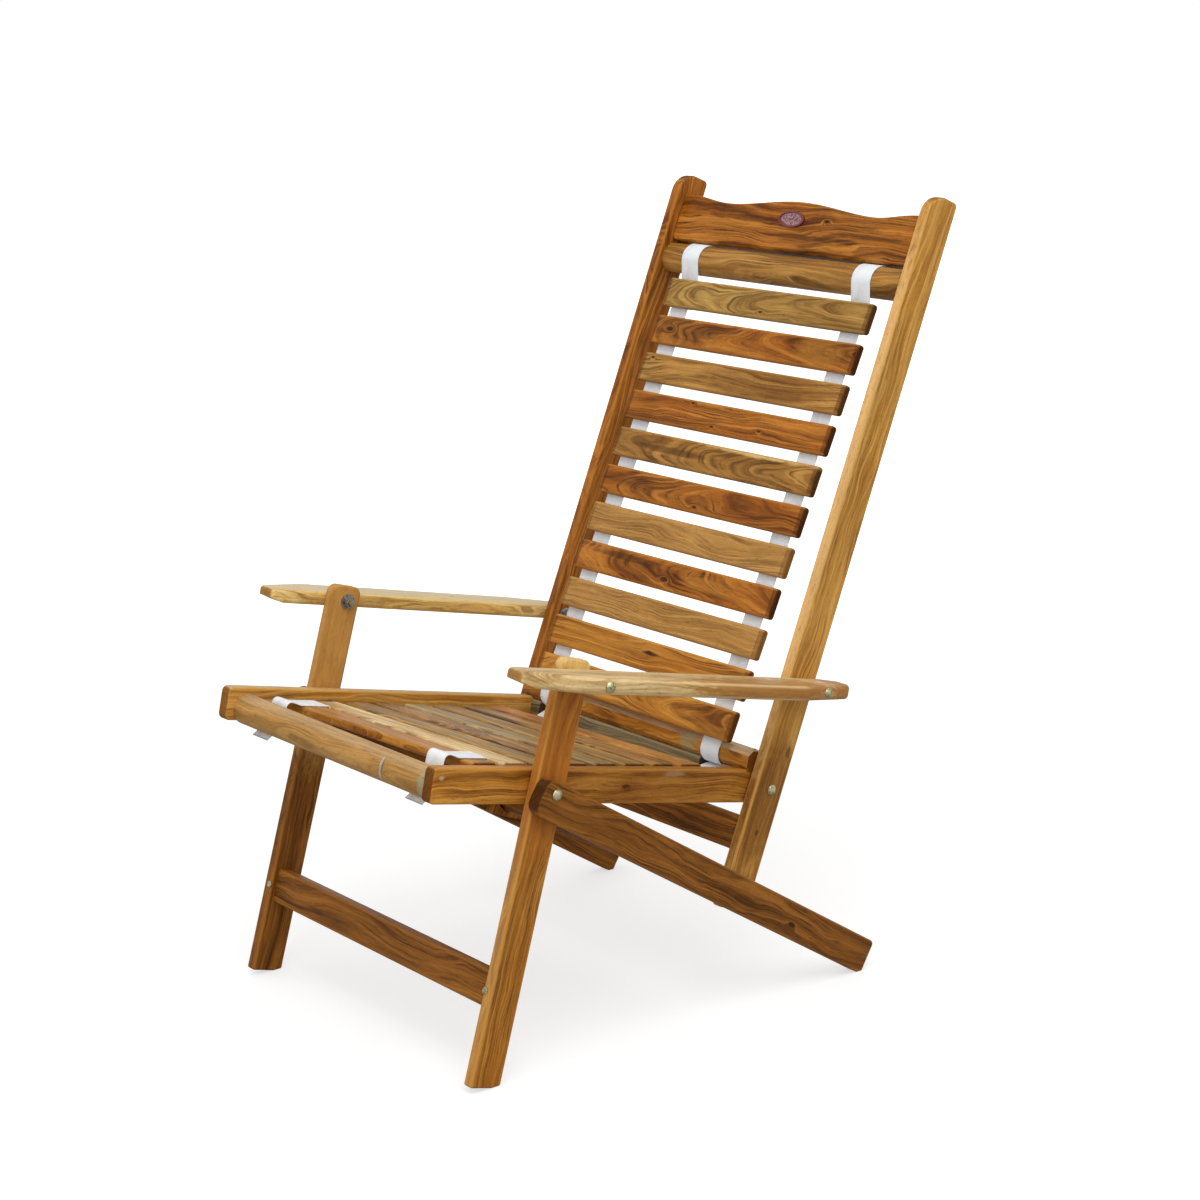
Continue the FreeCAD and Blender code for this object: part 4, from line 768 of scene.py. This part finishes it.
# %% Weave the six straps
tape_look = webbing_material()
straps = sorted(node for node in nodes if "webbing_" in node and "staples" not in node)
for place, name in enumerate(straps):
    piece, length = weave_strap(name, 3.1 * place)
    piece.data.materials.append(tape_look)
    print(piece.name, "%.3f m" % length)

# %% [markdown]
# ## Plated steel
# Bolt and screw heads are zinc plated with a faint yellow tint, nuts and washers are
# plain grey, and the staples are dark wire. All are metal with small changes of tint
# and gloss and fine scratches, so the shader is fully metallic and noise drives the
# rest.

# %% Plated and dark steel
def plated(name, bright, tarnish, gloss):
    """Plated steel with cloudy tarnish and fine scratches."""
    material, sheet, shader = new_material(name)
    coords = sheet.node("ShaderNodeTexCoord", None, None, "Object")
    blotch = cloud(coords, 3.0, 0.6, 260.0)
    drawn = coords.node("ShaderNodeMapping", None, {"Vector": coords, "Scale": (4000, 350, 350)})
    scratch = cloud(drawn, 1.0)
    colour = blotch.rise(0.38, 0.66).blend(bright, tarnish)
    roughness = gloss + blotch * 0.2 + scratch.rise(0.5, 0.7) * 0.1
    finish_shader(sheet, shader, colour, roughness, scratch, 0.00003, Metallic=1.0)
    return material


zinc = plated("zinc_plate", tone(196, 192, 156), tone(138, 128, 84), 0.3)
steel = plated("steel_grey", tone(178, 178, 176), tone(112, 110, 106), 0.34)
wire = plated("staple_wire", tone(104, 100, 96), tone(66, 60, 56), 0.4)
for name in nodes:
    if "staples" in name:
        dress(name, wire)
    elif any(word in name for word in ("nuts", "washers")):
        dress(name, steel)
    elif any(word in name for word in ("bolts", "screws")):
        dress(name, zinc)
print("metals:", zinc.name, steel.name, wire.name)

# %% [markdown]
# ## The oval plaque
# A small bare plate sits on the crest rail: a dark red enamel rim round a dull metal
# field. Two pieces of mesh could stand for them, but on a plate this small the edge
# between them is only a change of colour and gloss. So an oval mask in the plate's
# own directions separates enamel from metal.

# %% Plaque
def plaque_material(name):
    """Enamel rim and pewter field, split by an oval mask."""
    axes = directions("upright", "cross")
    middle, halves = measure(name, axes)
    material, sheet, shader = new_material("plaque")
    coords = sheet.node("ShaderNodeTexCoord", None, None, "Object")
    along, across = board_place(sheet, coords, middle, axes)[:2]
    wide, high = along / halves[0], across / halves[1]
    reach = (wide * wide + high * high) ** 0.5
    rim = reach.rise(0.74, 0.80)
    mottle = cloud(coords, 3.0, 0.6, 420.0)
    field = mottle.rise(0.4, 0.6).blend(tone(158, 124, 124), tone(96, 40, 44))
    colour = rim.blend(field, tone(104, 8, 20))
    roughness = 0.42 - rim * 0.16 + mottle * 0.1
    finish_shader(sheet, shader, colour, roughness, mottle * 0.6, 0.00008, Coat_Weight=0.3)
    dress(name, material)


plaque_material("oval_plaque")
print("plaque size", nodes["oval_plaque"].dimensions)

# %% [markdown]
# ## Floor and light
# The photograph shows the chair on pure white. A white floor and a white world do
# that, but the wood must not be lit by more than its share. So the world is white
# only for rays from the camera, in a reflection or through glass, and softer for the
# light that falls on the chair. The floor is pale grey and glows for the camera alone,
# more so further out, which leaves a soft shadow under the chair and hides where the
# floor ends. Two large soft lamps give the boards their shape.

# %% Floor
FLOOR_HALF = 30.0
FLOOR_GLOW = 0.60
floor_mesh = bpy.data.meshes.new("floor")
floor_mesh.from_pydata([(x, y, 0) for x, y in ((-FLOOR_HALF, -FLOOR_HALF), (FLOOR_HALF, -FLOOR_HALF),
                                               (FLOOR_HALF, FLOOR_HALF), (-FLOOR_HALF, FLOOR_HALF))],
                       [], [(0, 1, 2, 3)])
floor = bpy.data.objects.new("floor", floor_mesh)
bpy.context.scene.collection.objects.link(floor)
floor_look, sheet, shader = new_material("pale_floor")
coords = sheet.node("ShaderNodeTexCoord", None, None, "Object")
paper = cloud(coords, 2.0, 0.5, 3.0)
floor_colour = paper.blend(tone(186, 186, 186), tone(182, 182, 182))
sheet.tree.links.new(floor_colour.socket, shader.inputs["Base Color"])
shader.inputs["Roughness"].default_value = 0.9
shader.inputs["Specular IOR Level"].default_value = 0.0
distance = sheet.node("ShaderNodeVectorMath", {"operation": "LENGTH"}, {0: coords}, "Value")
glow = sheet.node("ShaderNodeEmission", None, {"Color": (1, 1, 1, 1), "Strength": 1.0})
dark = sheet.node("ShaderNodeEmission", None, {"Color": (0, 0, 0, 1), "Strength": 0.0})
rays = sheet.node("ShaderNodeLightPath", None, None, "Is Camera Ray")
share = rays * (FLOOR_GLOW + distance.rise(0.6, 3.0) * (1 - FLOOR_GLOW))
extra = sheet.node("ShaderNodeMixShader", None, {0: share, 1: dark, 2: glow})
both = sheet.node("ShaderNodeAddShader", None, {0: Wire(sheet.tree, shader.outputs[0]), 1: extra})
sheet.tree.links.new(both.socket, sheet.tree.nodes["Material Output"].inputs["Surface"])
floor_mesh.materials.append(floor_look)
print("floor", 2 * FLOOR_HALF, "m square")

# %% World and lamps
SKY_LIGHT = 0.78
world = bpy.data.worlds.new("white_room")
world.use_nodes = True
bpy.context.scene.world = world
sky = Wire(world.node_tree)
path = sky.node("ShaderNodeLightPath", None, None, "Is Camera Ray")
seen = path.over(path.beside("Is Glossy Ray")).over(path.beside("Is Transmission Ray"))
soft = sky.node("ShaderNodeBackground", None, {"Color": (1, 1, 1, 1), "Strength": SKY_LIGHT})
white = sky.node("ShaderNodeBackground", None, {"Color": (1, 1, 1, 1), "Strength": 1.0})
room = sky.node("ShaderNodeMixShader", None, {0: seen, 1: soft, 2: white})
world.node_tree.links.new(room.socket, world.node_tree.nodes["World Output"].inputs["Surface"])

CHAIR_MIDDLE = Vector((0, 0, 0.5))


def soft_lamp(name, azimuth, height, distance, size, power):
    """A square soft lamp that looks at the chair. Azimuth 0 stands in front."""
    turn, lift = math.radians(azimuth), math.radians(height)
    away = Vector((math.sin(turn) * math.cos(lift), -math.cos(turn) * math.cos(lift), math.sin(lift)))
    data = bpy.data.lights.new(name, "AREA")
    data.size = size
    data.energy = power
    lamp = bpy.data.objects.new(name, data)
    lamp.location = CHAIR_MIDDLE + away * distance
    lamp.rotation_euler = away.to_track_quat("Z", "Y").to_euler()
    bpy.context.scene.collection.objects.link(lamp)
    print(name, size, "m wide", power, "W")


soft_lamp("key_lamp", azimuth=55, height=60, distance=4.0, size=2.6, power=64)
soft_lamp("fill_lamp", azimuth=20, height=22, distance=4.5, size=3.0, power=24)
